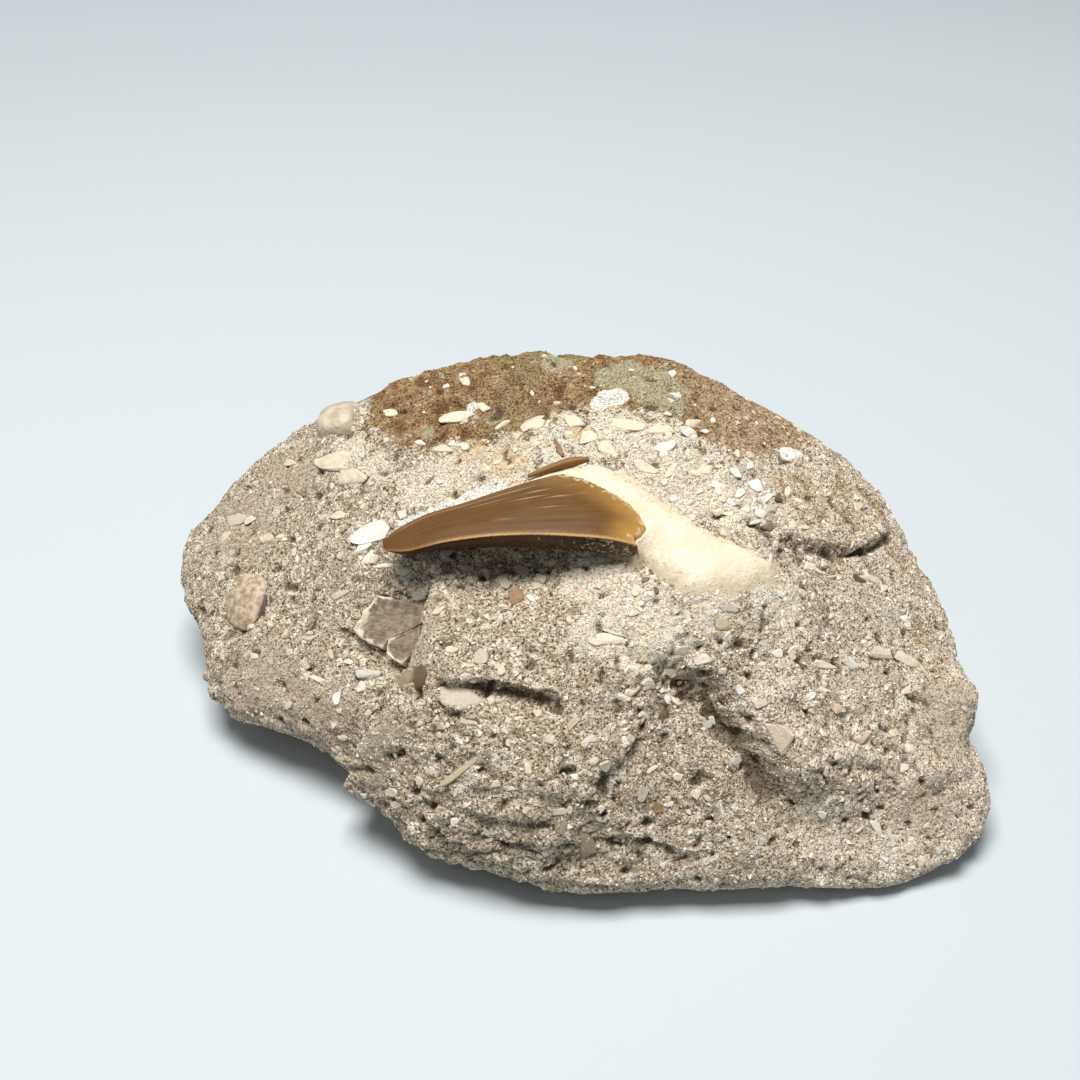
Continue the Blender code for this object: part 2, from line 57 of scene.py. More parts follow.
# The stone: one lump of weakly bound phosphate sand, broken out by hand and left rough all over. It carries
# every other piece. Its top was scraped back round the tooth, so it is paler and chalkier there than the
# brown crust along its back.
STONE_HEART = np.array([0.002, 0.0, 0.010])  # the point inside the stone that its radius is measured from
STONE_PLUMP = np.array([1.0, 1.3, 2.0])  # scale that makes the flat stone nearly round, to measure radii in
STONE_CELLS = 126  # cells along one side of each of its six patches
ARM_LEAN = np.array([0.06, -0.34, 0.34])  # crowds those cells on its top and its steep front
KERNEL_ROUNDING = 0.05  # rounds off the fitted skin right at each of its places
SKIN_SLACK = 0.0004  # lets the fitted skin pass a little beside its places
EDGE_ROUNDING = 0.005  # softens the corner between the stone's skin and its flat foot
# The stone's skin passes through these places: skyline, lower edge, face, back and underside.
SKYLINE = (
    (-0.0597, 0.0095, 0.016), (-0.058, 0.015, 0.02), (-0.053, 0.0205, 0.024), (-0.047, 0.024, 0.028),
    (-0.0395, 0.027, 0.032), (-0.03, 0.0265, 0.037), (-0.0225, 0.028, 0.04), (-0.0135, 0.027, 0.0435),
    (-0.0055, 0.0265, 0.0454), (0.004, 0.024, 0.0457), (0.013, 0.023, 0.047), (0.0185, 0.0215, 0.0458),
    (0.024, 0.0205, 0.043), (0.0315, 0.0195, 0.04), (0.0385, 0.017, 0.0365), (0.044, 0.0135, 0.0335),
    (0.0485, 0.011, 0.03), (0.051, 0.0075, 0.027), (0.0525, 0.0035, 0.025), (0.055, -0.001, 0.022),
    (0.0567, -0.007, 0.019), (0.0577, -0.014, 0.0168), (0.0577, -0.0195, 0.0145),
)
HEM = (
    (0.0575, -0.025, 0.012), (0.0609, -0.0291, 0.0075), (0.059, -0.0337, 0.005), (0.054, -0.0378, 0.0035),
    (0.0463, -0.0412, 0.003), (0.0352, -0.0417, 0.0025), (0.0211, -0.0419, 0.0022),
    (0.0101, -0.0424, 0.0022), (-0.001, -0.0426, 0.0028), (-0.0091, -0.0406, 0.0032),
    (-0.0172, -0.038, 0.004), (-0.0224, -0.034, 0.0048), (-0.0249, -0.0284, 0.0052),
    (-0.031, -0.0252, 0.0054), (-0.0363, -0.0179, 0.006), (-0.045, -0.0146, 0.0056),
    (-0.0509, -0.01, 0.0058), (-0.0546, -0.0044, 0.0066), (-0.0554, 0.0004, 0.0085),
    (-0.0587, 0.0063, 0.011),
)
FACE = (
    (-0.05, 0.0115, 0.0225), (-0.049, 0.0015, 0.019), (-0.0485, -0.006, 0.016), (-0.0475, -0.013, 0.0125),
    (-0.0405, 0.016, 0.029), (-0.0395, 0.005, 0.026), (-0.039, -0.0035, 0.0215), (-0.0385, -0.012, 0.0175),
    (-0.038, -0.018, 0.0135), (-0.0245, 0.015, 0.0375), (-0.024, 0.004, 0.0345), (-0.0238, -0.0045, 0.0323),
    (-0.0233, -0.0106, 0.028), (-0.023, -0.0165, 0.024), (-0.023, -0.025, 0.0225), (-0.0225, -0.031, 0.017),
    (-0.0125, 0.0145, 0.0415), (-0.0125, 0.006, 0.0385), (-0.012, -0.0015, 0.0355),
    (-0.0119, -0.0083, 0.0317), (-0.0115, -0.018, 0.031), (-0.0115, -0.0265, 0.028),
    (-0.0115, -0.033, 0.023), (-0.0115, -0.038, 0.017), (-0.0115, -0.041, 0.01), (0.0055, 0.014, 0.0455),
    (0.005, 0.005, 0.043), (0.005, -0.002, 0.0395), (0.005, -0.0105, 0.0355), (0.0045, -0.0195, 0.0325),
    (0.0045, -0.027, 0.0285), (0.0045, -0.0335, 0.0235), (0.0045, -0.0385, 0.0175), (0.0045, -0.0415, 0.01),
    (0.02, 0.011, 0.044), (0.0195, 0.002, 0.0415), (0.019, -0.006, 0.039), (0.0185, -0.014, 0.0365),
    (0.018, -0.02, 0.033), (0.018, -0.0265, 0.028), (0.018, -0.032, 0.022), (0.018, -0.037, 0.016),
    (0.018, -0.0415, 0.0095), (0.0345, 0.005, 0.0375), (0.0335, -0.004, 0.0355), (0.033, -0.013, 0.032),
    (0.032, -0.0205, 0.028), (0.0315, -0.0285, 0.024), (0.0315, -0.034, 0.0185), (0.0315, -0.0385, 0.0115),
    (0.046, -0.0025, 0.0285), (0.045, -0.0115, 0.025), (0.0445, -0.0195, 0.021), (0.0435, -0.0275, 0.017),
    (0.0435, -0.0335, 0.0115), (0.0435, -0.0375, 0.006), (0.0545, -0.013, 0.0185), (0.053, -0.022, 0.0155),
    (0.0525, -0.0295, 0.0115), (0.052, -0.035, 0.007),
)
BACK = (
    (-0.053, 0.0235, 0.018), (-0.045, 0.03, 0.0235), (-0.03, 0.033, 0.032), (-0.014, 0.0335, 0.038),
    (-0.006, 0.032, 0.0405), (0.005, 0.03, 0.0405), (0.014, 0.029, 0.0415), (0.026, 0.0255, 0.0375),
    (0.041, 0.021, 0.0305), (0.052, 0.011, 0.0225), (-0.038, 0.037, 0.018), (-0.02, 0.0402, 0.022),
    (0.0, 0.041, 0.026), (0.018, 0.0376, 0.027), (0.032, 0.032, 0.024), (0.044, 0.024, 0.02),
    (0.053, 0.013, 0.014), (-0.049, 0.022, 0.006), (-0.036, 0.0325, 0.006), (-0.014, 0.039, 0.008),
    (0.008, 0.04, 0.008), (0.03, 0.035, 0.007), (0.046, 0.022, 0.006), (0.0555, 0.004, 0.01),
)
UNDERSIDE = (
    (0.0565, -0.006, 0.011), (0.0568, -0.013, 0.0085), (0.0568, -0.02, 0.006), (0.0592, -0.0285, 0.003),
    (-0.0572, 0.0075, 0.0065), (-0.0545, 0.0015, 0.004), (-0.0495, -0.006, 0.003),
    (-0.0435, -0.0105, 0.0028), (-0.0365, -0.0145, 0.0028), (-0.03, -0.0205, 0.0028), (-0.052, 0.009, 0.0),
    (-0.0455, -0.002, 0.0), (-0.034, -0.009, 0.0), (-0.04, 0.014, -0.001), (-0.022, 0.03, -0.001),
    (0.004, 0.034, -0.001), (0.028, 0.028, -0.001), (0.042, 0.012, -0.001), (0.048, -0.01, -0.001),
    (0.048, -0.029, -0.001), (0.03, -0.035, -0.001), (0.004, -0.035, -0.001), (-0.014, -0.031, -0.001),
    (-0.024, -0.02, -0.001), (-0.038, -0.003, -0.001), (0.0, 0.005, -0.004), (-0.02, 0.01, -0.004),
    (0.022, 0.005, -0.004), (0.02, -0.015, -0.004),
)
# Steps: (path, rise, run, reach). Ground to the left of a path stands higher by the rise, within the reach.
STEP_FADE = 6  # a step reaches its full rise this fraction of its path, 1 / 6, from either end
STEPS = (
    (((-0.0177, -0.0079, 0.0314), (-0.019, -0.0111, 0.0297), (-0.0194, -0.0142, 0.0283),
      (-0.0197, -0.0176, 0.0269), (-0.0213, -0.0199, 0.0249), (-0.0229, -0.0225, 0.0232),
      (-0.0245, -0.0245, 0.0212), (-0.0266, -0.0255, 0.018), (-0.0284, -0.0264, 0.0145),
      (-0.0296, -0.0272, 0.0107), (-0.03, -0.0266, 0.0071),
      (-0.0302, -0.0262, 0.001)), 0.0056, 0.0005, 0.008),
    (((0.028, -0.008, 0.0365), (0.033, -0.007, 0.0345), (0.04, -0.004, 0.031),
      (0.05, 0.005, 0.028)), 0.0017, 0.0005, 0.006),
    (((-0.019, -0.0255, 0.0262), (-0.0163, -0.0262, 0.0275), (-0.0118, -0.0272, 0.0281),
      (-0.0082, -0.0282, 0.028), (-0.0042, -0.0286, 0.0278),
      (0.0006, -0.0297, 0.027)), 0.0019, 0.0005, 0.004),
    (((0.0278, -0.0286, 0.0246), (0.0303, -0.0274, 0.0249), (0.0338, -0.0276, 0.0239),
      (0.039, -0.0269, 0.0214), (0.0426, -0.0255, 0.0187)), 0.0015, 0.0008, 0.0036),
    (((-0.0431, -0.0031, 0.0196), (-0.0456, -0.0044, 0.018), (-0.0484, -0.0048, 0.0168),
      (-0.0512, -0.0052, 0.0155), (-0.0545, -0.0054, 0.0135)), 0.002, 0.0006, 0.004),
    (((-0.0176, -0.0272, 0.0251), (-0.0156, -0.0283, 0.025), (-0.0132, -0.0295, 0.0243),
      (-0.0109, -0.0303, 0.0248)), 0.0014, 0.0004, 0.002),
    (((-0.013, -0.0395, 0.0148), (-0.0062, -0.0403, 0.0151),
      (-0.001, -0.0408, 0.0149)), 0.0013, 0.0004, 0.0022),
    (((-0.011, -0.041, 0.011), (-0.0035, -0.0416, 0.0122),
      (0.0035, -0.0411, 0.0108)), 0.0016, 0.0004, 0.0022),
    (((0.0046, -0.0403, 0.0118), (0.0079, -0.0397, 0.0123), (0.0113, -0.0401, 0.0112),
      (0.019, -0.0414, 0.0085)), 0.0014, 0.0004, 0.0025),
    (((-0.02, -0.0385, 0.012), (-0.015, -0.0397, 0.0094),
      (-0.009, -0.0407, 0.0076)), 0.0012, 0.0004, 0.002),
    (((0.0215, -0.0285, 0.024), (0.0242, -0.0307, 0.0217), (0.0268, -0.0323, 0.0208),
      (0.0295, -0.0345, 0.018), (0.0318, -0.0358, 0.013)), 0.0034, 0.0005, 0.004),
    (((0.0049, -0.0389, 0.0156), (0.0049, -0.0366, 0.0197), (0.0072, -0.035, 0.0211),
      (0.0105, -0.032, 0.023)), 0.0014, 0.0005, 0.0035),
    (((0.0312, -0.0213, 0.0276), (0.0331, -0.021, 0.0271), (0.0351, -0.0207, 0.0264),
      (0.038, -0.0205, 0.025)), 0.0011, 0.0004, 0.002),
    (((0.03, 0.033, 0.021), (0.012, 0.0395, 0.024), (-0.008, 0.0415, 0.021),
      (-0.028, 0.039, 0.016)), 0.003, 0.0008, 0.0075),
    (((0.052, 0.014, 0.015), (0.044, 0.024, 0.022), (0.033, 0.029, 0.029)), 0.0022, 0.0008, 0.006),
)
# Grooves: (path, depth, half width)
GROOVE_FADE = 5
GROOVES = (
    (((0.012, -0.0246, 0.0299), (0.0167, -0.0273, 0.0273), (0.021, -0.0295, 0.0247),
      (0.025, -0.0323, 0.0215), (0.0281, -0.0356, 0.0171), (0.031, -0.0382, 0.0121),
      (0.0335, -0.0401, 0.008)), 0.0046, 0.0032),
    (((-0.0205, -0.0102, 0.0297), (-0.0207, -0.0135, 0.0277), (-0.021, -0.0163, 0.0261),
      (-0.0227, -0.0186, 0.024), (-0.0243, -0.0213, 0.0223), (-0.0259, -0.0232, 0.0203),
      (-0.028, -0.0244, 0.0172), (-0.03, -0.0253, 0.0136)), 0.0034, 0.0017),
    (((0.0281, -0.0057, 0.0373), (0.031, -0.0067, 0.0358), (0.0351, -0.0062, 0.0339),
      (0.0413, -0.0037, 0.0311), (0.0464, -0.0002, 0.0292), (0.0502, 0.0048, 0.0278)), 0.0014, 0.0007),
    (((-0.015, -0.0092, 0.0305), (-0.01, -0.009, 0.0318), (-0.005, -0.0085, 0.0325),
      (0.002, -0.0095, 0.0335)), 0.0012, 0.0036),
    (((-0.0185, -0.0268, 0.0258), (-0.012, -0.0282, 0.0272), (-0.0045, -0.0296, 0.0268),
      (0.0, -0.0305, 0.026)), 0.0013, 0.0014),
    (((0.0305, -0.0268, 0.0252), (0.035, -0.0266, 0.024), (0.04, -0.0258, 0.021)), 0.001, 0.0018),
    (((0.0049, -0.0392, 0.015), (0.0049, -0.0366, 0.0197), (0.006, -0.0352, 0.021)), 0.0012, 0.0004),
    (((0.0255, -0.0045, 0.0385), (0.0285, -0.0062, 0.0372), (0.03, -0.008, 0.036)), 0.0012, 0.0006),
)
# Lumps, and pits where the height is negative: (middle, height, radius)
LUMPS = (
    ((-0.0035, 0.026, 0.0465), 0.001, 0.0022), ((0.057, -0.017, 0.016), 0.0022, 0.0034),
    ((0.059, -0.0232, 0.0118), -0.0014, 0.0026), ((-0.015, -0.0275, 0.0255), 0.0012, 0.0024),
    ((0.0135, -0.0295, 0.0245), -0.0014, 0.0016), ((-0.0105, 0.0162, 0.0426), -0.0022, 0.0014),
    ((-0.025, -0.0118, 0.024), -0.001, 0.005), ((-0.0225, -0.0165, 0.024), -0.001, 0.0035),
    ((0.0295, -0.0045, 0.0375), -0.001, 0.0012), ((0.0125, -0.0335, 0.0215), -0.0012, 0.005),
    ((-0.033, -0.019, 0.015), 0.001, 0.006), ((0.04, -0.031, 0.015), 0.0012, 0.006),
    ((-0.002, -0.0355, 0.021), 0.001, 0.007), ((0.054, -0.025, 0.014), 0.0008, 0.004),
    ((-0.033, -0.01, 0.02), 0.0012, 0.006), ((-0.05, 0.007, 0.021), 0.001, 0.007),
    ((0.031, -0.033, 0.019), 0.0014, 0.004), ((-0.04, 0.033, 0.012), -0.0018, 0.008),
    ((0.018, 0.039, 0.012), -0.0016, 0.009),
)
ROUGHNESS = ((0.0150, 0.00060), (0.0062, 0.00034))  # (lump size, height) of the stone's even unevenness
CRUMBLE = ((0.0052, 0.00085), (0.0025, 0.00048), (0.0012, 0.00030))  # (lump size, height) of its crumbling
CRUMBLE_REST = 0.25  # share of a clump's height that lies under the mean skin
CRUMBLE_AREAS = 0.011  # size of the areas that crumble more, or less
LAYERS = (0.0019, 0.0009)  # (lump size, height) of the thin broken layers low on the front
LAYER_STRETCH = np.array([2.6, 2.6, 1.0])  # how much wider than thick they are
LAYER_TOP, LAYER_FADE = 0.019, 0.008  # the height where they begin, and how far down they come in fully
POCKS = (0.0019, 0.0022)  # (size, depth) of the small pits
POCK_SHARE = 0.4  # how much of the noise above the same level makes a pit
GRIT = 0.00006  # unevenness of the skin from point to point
WORN = 0.0002  # how far the crumbled skin lies under the smooth one
FOOT_START, FOOT_FADE = 0.0012, 0.002  # the height where crumbling begins, and how far up it comes in fully
UNDERCUT = 0.02  # share by which the foot is drawn in under the sides
UNDERCUT_HEIGHT = 0.0065
PIT_DEPTH, BOWL_DEPTH = 0.00022, 0.0011  # depths of a small hollow and of a wide one that get the most dirt and painted shade
# The outline of the putty that covers the stone at the tooth's base, seen from above.
PUTTY_EDGE = (
    (-0.0206, -0.0014, 0.0346), (-0.0178, -0.0002, 0.0356), (-0.0146, 0.0012, 0.0368),
    (-0.0103, 0.0022, 0.0383), (-0.0049, 0.0034, 0.0406), (-0.0006, 0.0044, 0.0418),
    (0.0044, 0.0046, 0.0433), (0.0078, 0.003, 0.043), (0.0121, -0.0006, 0.041), (0.019, -0.0054, 0.0389),
    (0.0238, -0.008, 0.0379), (0.0284, -0.01, 0.0346), (0.03, -0.0116, 0.0337), (0.029, -0.0138, 0.0333),
    (0.0245, -0.0164, 0.0347), (0.019, -0.0178, 0.035), (0.0158, -0.0172, 0.035), (0.0134, -0.0148, 0.035),
    (0.0112, -0.0128, 0.035), (0.006, -0.011, 0.0345), (0.0, -0.007, 0.0345), (-0.008, -0.0035, 0.036),
    (-0.0135, -0.0022, 0.0362), (-0.0195, -0.004, 0.034),
)
PUTTY_MIDDLE, PUTTY_REACH = (0.010, -0.004, 0.040), 0.026  # a ball that holds all of the putty
SEAT_START, SEAT_FADE = 0.0012, 0.0034  # where the stone turns smooth, from the putty's outline inwards
SEAT_DEPTH = 0.00045  # how far the stone is pared down there
# The front border of the weathered crust, over the top of the stone: y at each x.
CRUST_BORDER = (
    (-0.06, 0.04), (-0.036, 0.03), (-0.0315, 0.024), (-0.028, 0.0165), (-0.0215, 0.0125), (-0.015, 0.011),
    (-0.0085, 0.0098), (0.0, 0.0118), (0.0067, 0.0122), (0.0115, 0.0115), (0.0165, 0.0112),
    (0.0195, 0.0068), (0.0255, 0.0052), (0.03, 0.0072), (0.033, 0.011), (0.04, 0.016), (0.052, 0.012),
    (0.06, 0.008),
)
CRUST_FADE = 0.007  # width over which the crust begins
# Patches, as (middle, radius): grey-green film, chalk, clean white plaster, pale dusting (along the main
# step's crest also a painted highlight), tan and yellow stain.
FILM = (
    ((0.0085, 0.019, 0.0466), 0.0046), ((0.0138, 0.0165, 0.0464), 0.0052), ((0.0155, 0.013, 0.0455), 0.003),
    ((-0.001, 0.0235, 0.0459), 0.003), ((-0.0102, 0.015, 0.0416), 0.0018),
    ((-0.0205, 0.0149, 0.039), 0.0014),
)
CHALK = (
    ((-0.0325, 0.0157, 0.0341), 0.0045), ((-0.0195, 0.006, 0.036), 0.006),
    ((-0.0152, 0.0075, 0.0385), 0.007), ((-0.0093, 0.006, 0.0401), 0.007),
    ((-0.0006, 0.0082, 0.0429), 0.007), ((0.0052, 0.009, 0.0441), 0.0065),
    ((0.0109, 0.0075, 0.0441), 0.007), ((0.0181, 0.0052, 0.0428), 0.006), ((0.013, 0.002, 0.0425), 0.008),
    ((0.0191, -0.0005, 0.0405), 0.008), ((0.0247, -0.003, 0.0389), 0.0065), ((0.01, -0.019, 0.0337), 0.007),
    ((0.003, -0.0134, 0.0335), 0.005), ((0.02, -0.019, 0.0335), 0.005), ((-0.0285, 0.0115, 0.035), 0.004),
    ((-0.0145, -0.0005, 0.0365), 0.0045), ((0.007, -0.016, 0.0338), 0.006), ((0.03, -0.015, 0.0325), 0.005),
    ((0.0047, -0.0205, 0.0325), 0.005), ((0.013, -0.0215, 0.0325), 0.0065), ((0.01, -0.024, 0.0305), 0.005),
)
WHITE = (
    ((-0.0236, 0.0005, 0.0335), 0.0009), ((-0.0222, 0.0008, 0.034), 0.0009),
    ((-0.0209, 0.001, 0.0344), 0.001), ((-0.0195, 0.0012, 0.0349), 0.001),
    ((-0.018, 0.0015, 0.0353), 0.0011), ((-0.0165, 0.0017, 0.0358), 0.0012),
    ((-0.0151, 0.0019, 0.0363), 0.0013), ((-0.0136, 0.0022, 0.0368), 0.0014),
    ((-0.0122, 0.0024, 0.0372), 0.0014), ((-0.0106, 0.0026, 0.0378), 0.0014),
    ((-0.0093, 0.0028, 0.0383), 0.0013), ((0.0078, 0.014, 0.046), 0.0019),
    ((0.0052, 0.0132, 0.0457), 0.0017), ((0.0062, 0.0143, 0.046), 0.0016),
    ((-0.015, 0.0158, 0.0411), 0.0012), ((0.0165, 0.015, 0.0455), 0.001),
    ((-0.0135, 0.0175, 0.0415), 0.0012),
)
# Pale dusting; the spots along the main step's crest are also a painted highlight on its edge.
DUST_AND_CREST_HIGHLIGHT = (
    ((-0.045, -0.011, 0.012), 0.009), ((-0.034, -0.019, 0.014), 0.007), ((-0.039, -0.016, 0.012), 0.007),
    ((-0.05, 0.012, 0.0225), 0.009), ((-0.042, 0.018, 0.028), 0.008), ((0.0545, -0.021, 0.014), 0.008),
    ((0.05, -0.032, 0.01), 0.006), ((-0.0182, -0.0135, 0.03), 0.0024), ((-0.0186, -0.0175, 0.029), 0.0026),
    ((-0.02, -0.0205, 0.0275), 0.0026), ((-0.0218, -0.0232, 0.0255), 0.0028),
    ((-0.0255, -0.0282, 0.0195), 0.005), ((-0.0272, -0.03, 0.015), 0.005),
)
TAN = (
    ((0.043, 0.003, 0.032), 0.015), ((0.052, -0.012, 0.02), 0.009), ((0.034, 0.006, 0.037), 0.008),
)
YELLOW = (
    ((-0.0086, 0.0062, 0.0404), 0.004), ((-0.0138, 0.01, 0.0397), 0.0034),
    ((0.0023, 0.0084, 0.0437), 0.002),
)


def tint(red, green, blue):
    """A colour as seen on a screen, from 0 to 255, as the linear colour that a shader takes."""
    share = np.array([red, green, blue]) / 255
    return (*np.where(share > 0.04045, ((share + 0.055) / 1.055) ** 2.4, share / 12.92), 1)


def unit(vectors):
    """Each vector over its length."""
    return vectors / np.linalg.norm(vectors, axis=-1, keepdims=True)


def smoothstep(low, high, value):
    """Rises from 0 to 1 as the value goes from low to high, level at both ends."""
    share = np.clip((value - low) / (high - low), 0, 1)
    return share * share * (3 - 2 * share)


def smooth_path(places, count):
    """count points on a Catmull-Rom curve that passes through the places, evenly spaced by parameter."""
    places = np.array(places, dtype=float)
    ends = np.vstack([2 * places[0] - places[1], places, 2 * places[-1] - places[-2]])
    s = np.linspace(0, len(places) - 1, count)
    i = np.minimum(s.astype(int), len(places) - 2)
    f = (s - i)[:, None]
    a, b, c, d = (ends[i + k] for k in range(4))
    return 0.5 * (2 * b + (c - a) * f + (2 * a - 5 * b + 4 * c - d) * f**2 + (3 * b - a - 3 * c + d) * f**3)


def spread(a, b):
    """Cube of the chord between unit directions, softened near zero: the kernel that bends the skin least."""
    return np.sqrt(np.maximum(2 - 2 * a @ b.T, 0) + KERNEL_ROUNDING**2) ** 3


def fit_skin(places):
    """Weights of the smoothest radius over all directions that passes (nearly) through the places."""
    arms = (np.array(places) - STONE_HEART) * STONE_PLUMP
    reach = np.linalg.norm(arms, axis=1)
    arms /= reach[:, None]
    n = len(reach)
    system = np.zeros((n + 4, n + 4))
    system[:n, :n] = spread(arms, arms) + SKIN_SLACK * np.eye(n)
    system[:n, n] = system[n, :n] = 1
    system[:n, n + 1:] = arms
    system[n + 1:, :n] = arms.T
    return arms, np.linalg.solve(system, np.concatenate([reach, np.zeros(4)]))


SLOPE_COUNT = 4096  # random slopes that the corners of a noise lattice choose from
SLOPE_STRIDE = np.array([73, 179, 283])  # how many slopes further the next corner's lies, along x, y and z


def lumpiness(points, size, seed):
    """Gradient noise, about -1 to 1: each corner of a lattice of the given size has its own random slope."""
    slopes = np.random.default_rng(seed).normal(size=(SLOPE_COUNT, 3))
    cell = np.floor(points / size).astype(int)
    f = points / size - cell
    ease = f * f * f * (f * (f * 6 - 15) + 10)
    total = np.zeros(len(points))
    for corner in np.ndindex(2, 2, 2):
        corner = np.array(corner)
        key = (cell + corner) @ SLOPE_STRIDE % SLOPE_COUNT
        weight = np.prod(np.where(corner == 1, ease, 1 - ease), axis=1)
        total += weight * np.sum(slopes[key] * (f - corner), axis=1)
    return total


LEGS_PER_PLACE = 5  # straight legs of a smooth path for each place that it passes through


def beside(points, path):
    """Nearest place on a path to each point: the distance, the distance to the left, the share of the way."""
    path = smooth_path(path, LEGS_PER_PLACE * len(path))
    start, leg = path[:-1], np.diff(path, axis=0)
    arm = points[:, None] - start
    share = np.clip(np.einsum("psk,sk->ps", arm, leg) / np.sum(leg**2, axis=1), 0, 1)
    off = arm - share[..., None] * leg
    gap = np.linalg.norm(off, axis=2)
    near = gap.argmin(axis=1)
    row = np.arange(len(points))
    left = np.cross(start[near] - STONE_HEART, leg[near])
    side = np.sum(off[row, near] * left, axis=1) / np.linalg.norm(left, axis=1)
    return gap[row, near], side, (near + share[row, near]) / len(leg)


def smooth_reach(arms):
    """The fitted radius along each arm."""
    fitted, weights = STONE_FIT
    n = len(fitted)
    return spread(arms, fitted) @ weights[:n] + weights[n] + arms @ weights[n + 1:]


def laid(path):
    """A path moved straight in or out from the stone's heart until it lies on the smooth skin."""
    arms = unit((np.array(path) - STONE_HEART) * STONE_PLUMP)
    return STONE_HEART + arms * smooth_reach(arms)[:, None] / STONE_PLUMP


NEAR = 2.2  # widths of a step or a groove within which it is worked out


def along_path(points, path, width, fade):
    """For points near a path on the skin: which, how near, how far to its left, and a fade at its ends."""
    path = laid(path)
    margin = NEAR * width
    close = np.all((points > path.min(axis=0) - margin) & (points < path.max(axis=0) + margin), axis=1)
    gap, side, share = beside(points[close], path)
    return close, gap, side, np.clip(np.minimum(share, 1 - share) * fade, 0, 1)


def stone_skin(arms):
    """Places on the stone along each arm: smooth skin, then steps, grooves, lumps, unevenness, flat foot."""
    reach = smooth_reach(arms)
    points = STONE_HEART + arms * reach[:, None] / STONE_PLUMP
    rise = np.zeros(len(arms))
    for path, height, run, width in STEPS:
        close, gap, side, fade = along_path(points, path, width, STEP_FADE)
        rise[close] += height * np.tanh(side / run) * np.exp(-(gap / width) ** 2) * fade / 2
    for path, depth, width in GROOVES:
        close, gap, side, fade = along_path(points, path, width, GROOVE_FADE)
        rise[close] -= depth * np.exp(-(gap / width) ** 2) * fade
    for middle, height, radius in LUMPS:
        rise += height * np.exp(-np.sum((points - middle) ** 2, axis=1) / radius**2)
    for seed, (size, height) in enumerate(ROUGHNESS):
        rise += height * lumpiness(points, size, seed)
    reach += rise / np.linalg.norm(arms / STONE_PLUMP, axis=1)
    ground = STONE_HEART[2] * STONE_PLUMP[2] / np.maximum(-arms[:, 2], 0.1)  # far off where an arm points up
    near = np.maximum(EDGE_ROUNDING - np.abs(reach - ground), 0)
    reach = np.minimum(reach, ground) - near**2 / EDGE_ROUNDING / 4
    return STONE_HEART + arms * reach[:, None] / STONE_PLUMP


def cube_shell(cells):
    """A cube's sides, from -1 to 1, as grids of cells that share their edges: (points, quads facing out)."""
    u, v = np.meshgrid(np.arange(cells + 1), np.arange(cells + 1), indexing="ij")
    sides = np.empty((6, *u.shape, 3), dtype=int)
    for axis in range(3):
        for far, (first, second) in enumerate(((v, u), (u, v))):
            sides[2 * axis + far, ..., axis] = far * cells
            sides[2 * axis + far, ..., (axis + 1) % 3] = first
            sides[2 * axis + far, ..., (axis + 2) % 3] = second
    key = sides @ np.array([1, cells + 1, (cells + 1) ** 2])
    unique, index = np.unique(key, return_inverse=True)
    index = index.reshape(key.shape)
    quads = np.stack([index[:, :-1, :-1], index[:, 1:, :-1], index[:, 1:, 1:], index[:, :-1, 1:]], axis=-1)
    steps = unique[:, None] // (cells + 1) ** np.arange(3) % (cells + 1)
    return steps / cells * 2 - 1, quads.reshape(-1, 4)


def face_out(points, faces):
    """Unit normal at each point: the crossed diagonals, or sides, of the faces that meet there, added up."""
    across = np.cross(points[faces[:, 2]] - points[faces[:, 0]], points[faces[:, -1]] - points[faces[:, 1]])
    across = np.repeat(across, faces.shape[1], axis=0)
    total = [np.bincount(faces.ravel(), column, len(points)) for column in across.T]
    return unit(np.stack(total, axis=1))


def blurred(values, faces, times):
    """Each point's value pulled to the mean of the faces around it, again and again."""
    count = np.bincount(faces.ravel(), minlength=len(values))[:, None]
    for _ in range(times):
        middles = np.repeat(values[faces].mean(axis=1), faces.shape[1], axis=0)
        added = [np.bincount(faces.ravel(), column, len(values)) for column in middles.T]
        values = np.stack(added, axis=1) / count
    return values


def patches(points, spots):
    """Each point's depth in the nearest of several round patches: 1 at a middle, 0 at a rim, less beyond."""
    return np.max([1 - np.linalg.norm(points - middle, axis=1) / radius for middle, radius in spots], axis=0)


def add_piece(name, points, faces, material, attributes, smooth=True, clipped=True):
    """A piece, kept to the object's box: a mesh, a material, and attributes with a value at each point."""
    mesh = bpy.data.meshes.new(name)
    faces = np.asarray(faces)
    points = np.clip(points, *np.array(cad_box)) if clipped else points
    mesh.vertices.add(len(points))
    mesh.vertices.foreach_set("co", np.asarray(points, dtype=np.float32).ravel())
    mesh.loops.add(faces.size)
    mesh.loops.foreach_set("vertex_index", faces.ravel().astype(np.int32))
    mesh.polygons.add(len(faces))
    mesh.polygons.foreach_set("loop_start", np.arange(0, faces.size, faces.shape[1], dtype=np.int32))
    mesh.update(calc_edges=True)
    mesh.polygons.foreach_set("use_smooth", np.full(len(faces), smooth))
    for key, values in attributes.items():
        values = np.asarray(values, dtype=np.float32)
        if values.ndim == 2:
            mesh.attributes.new(key, "FLOAT_COLOR", "POINT").data.foreach_set("color", values.ravel())
        else:
            mesh.attributes.new(key, "FLOAT", "POINT").data.foreach_set("value", values)
    mesh.materials.append(material)
    piece = bpy.data.objects.new(name, mesh)
    bpy.context.scene.collection.objects.link(piece)
    return piece


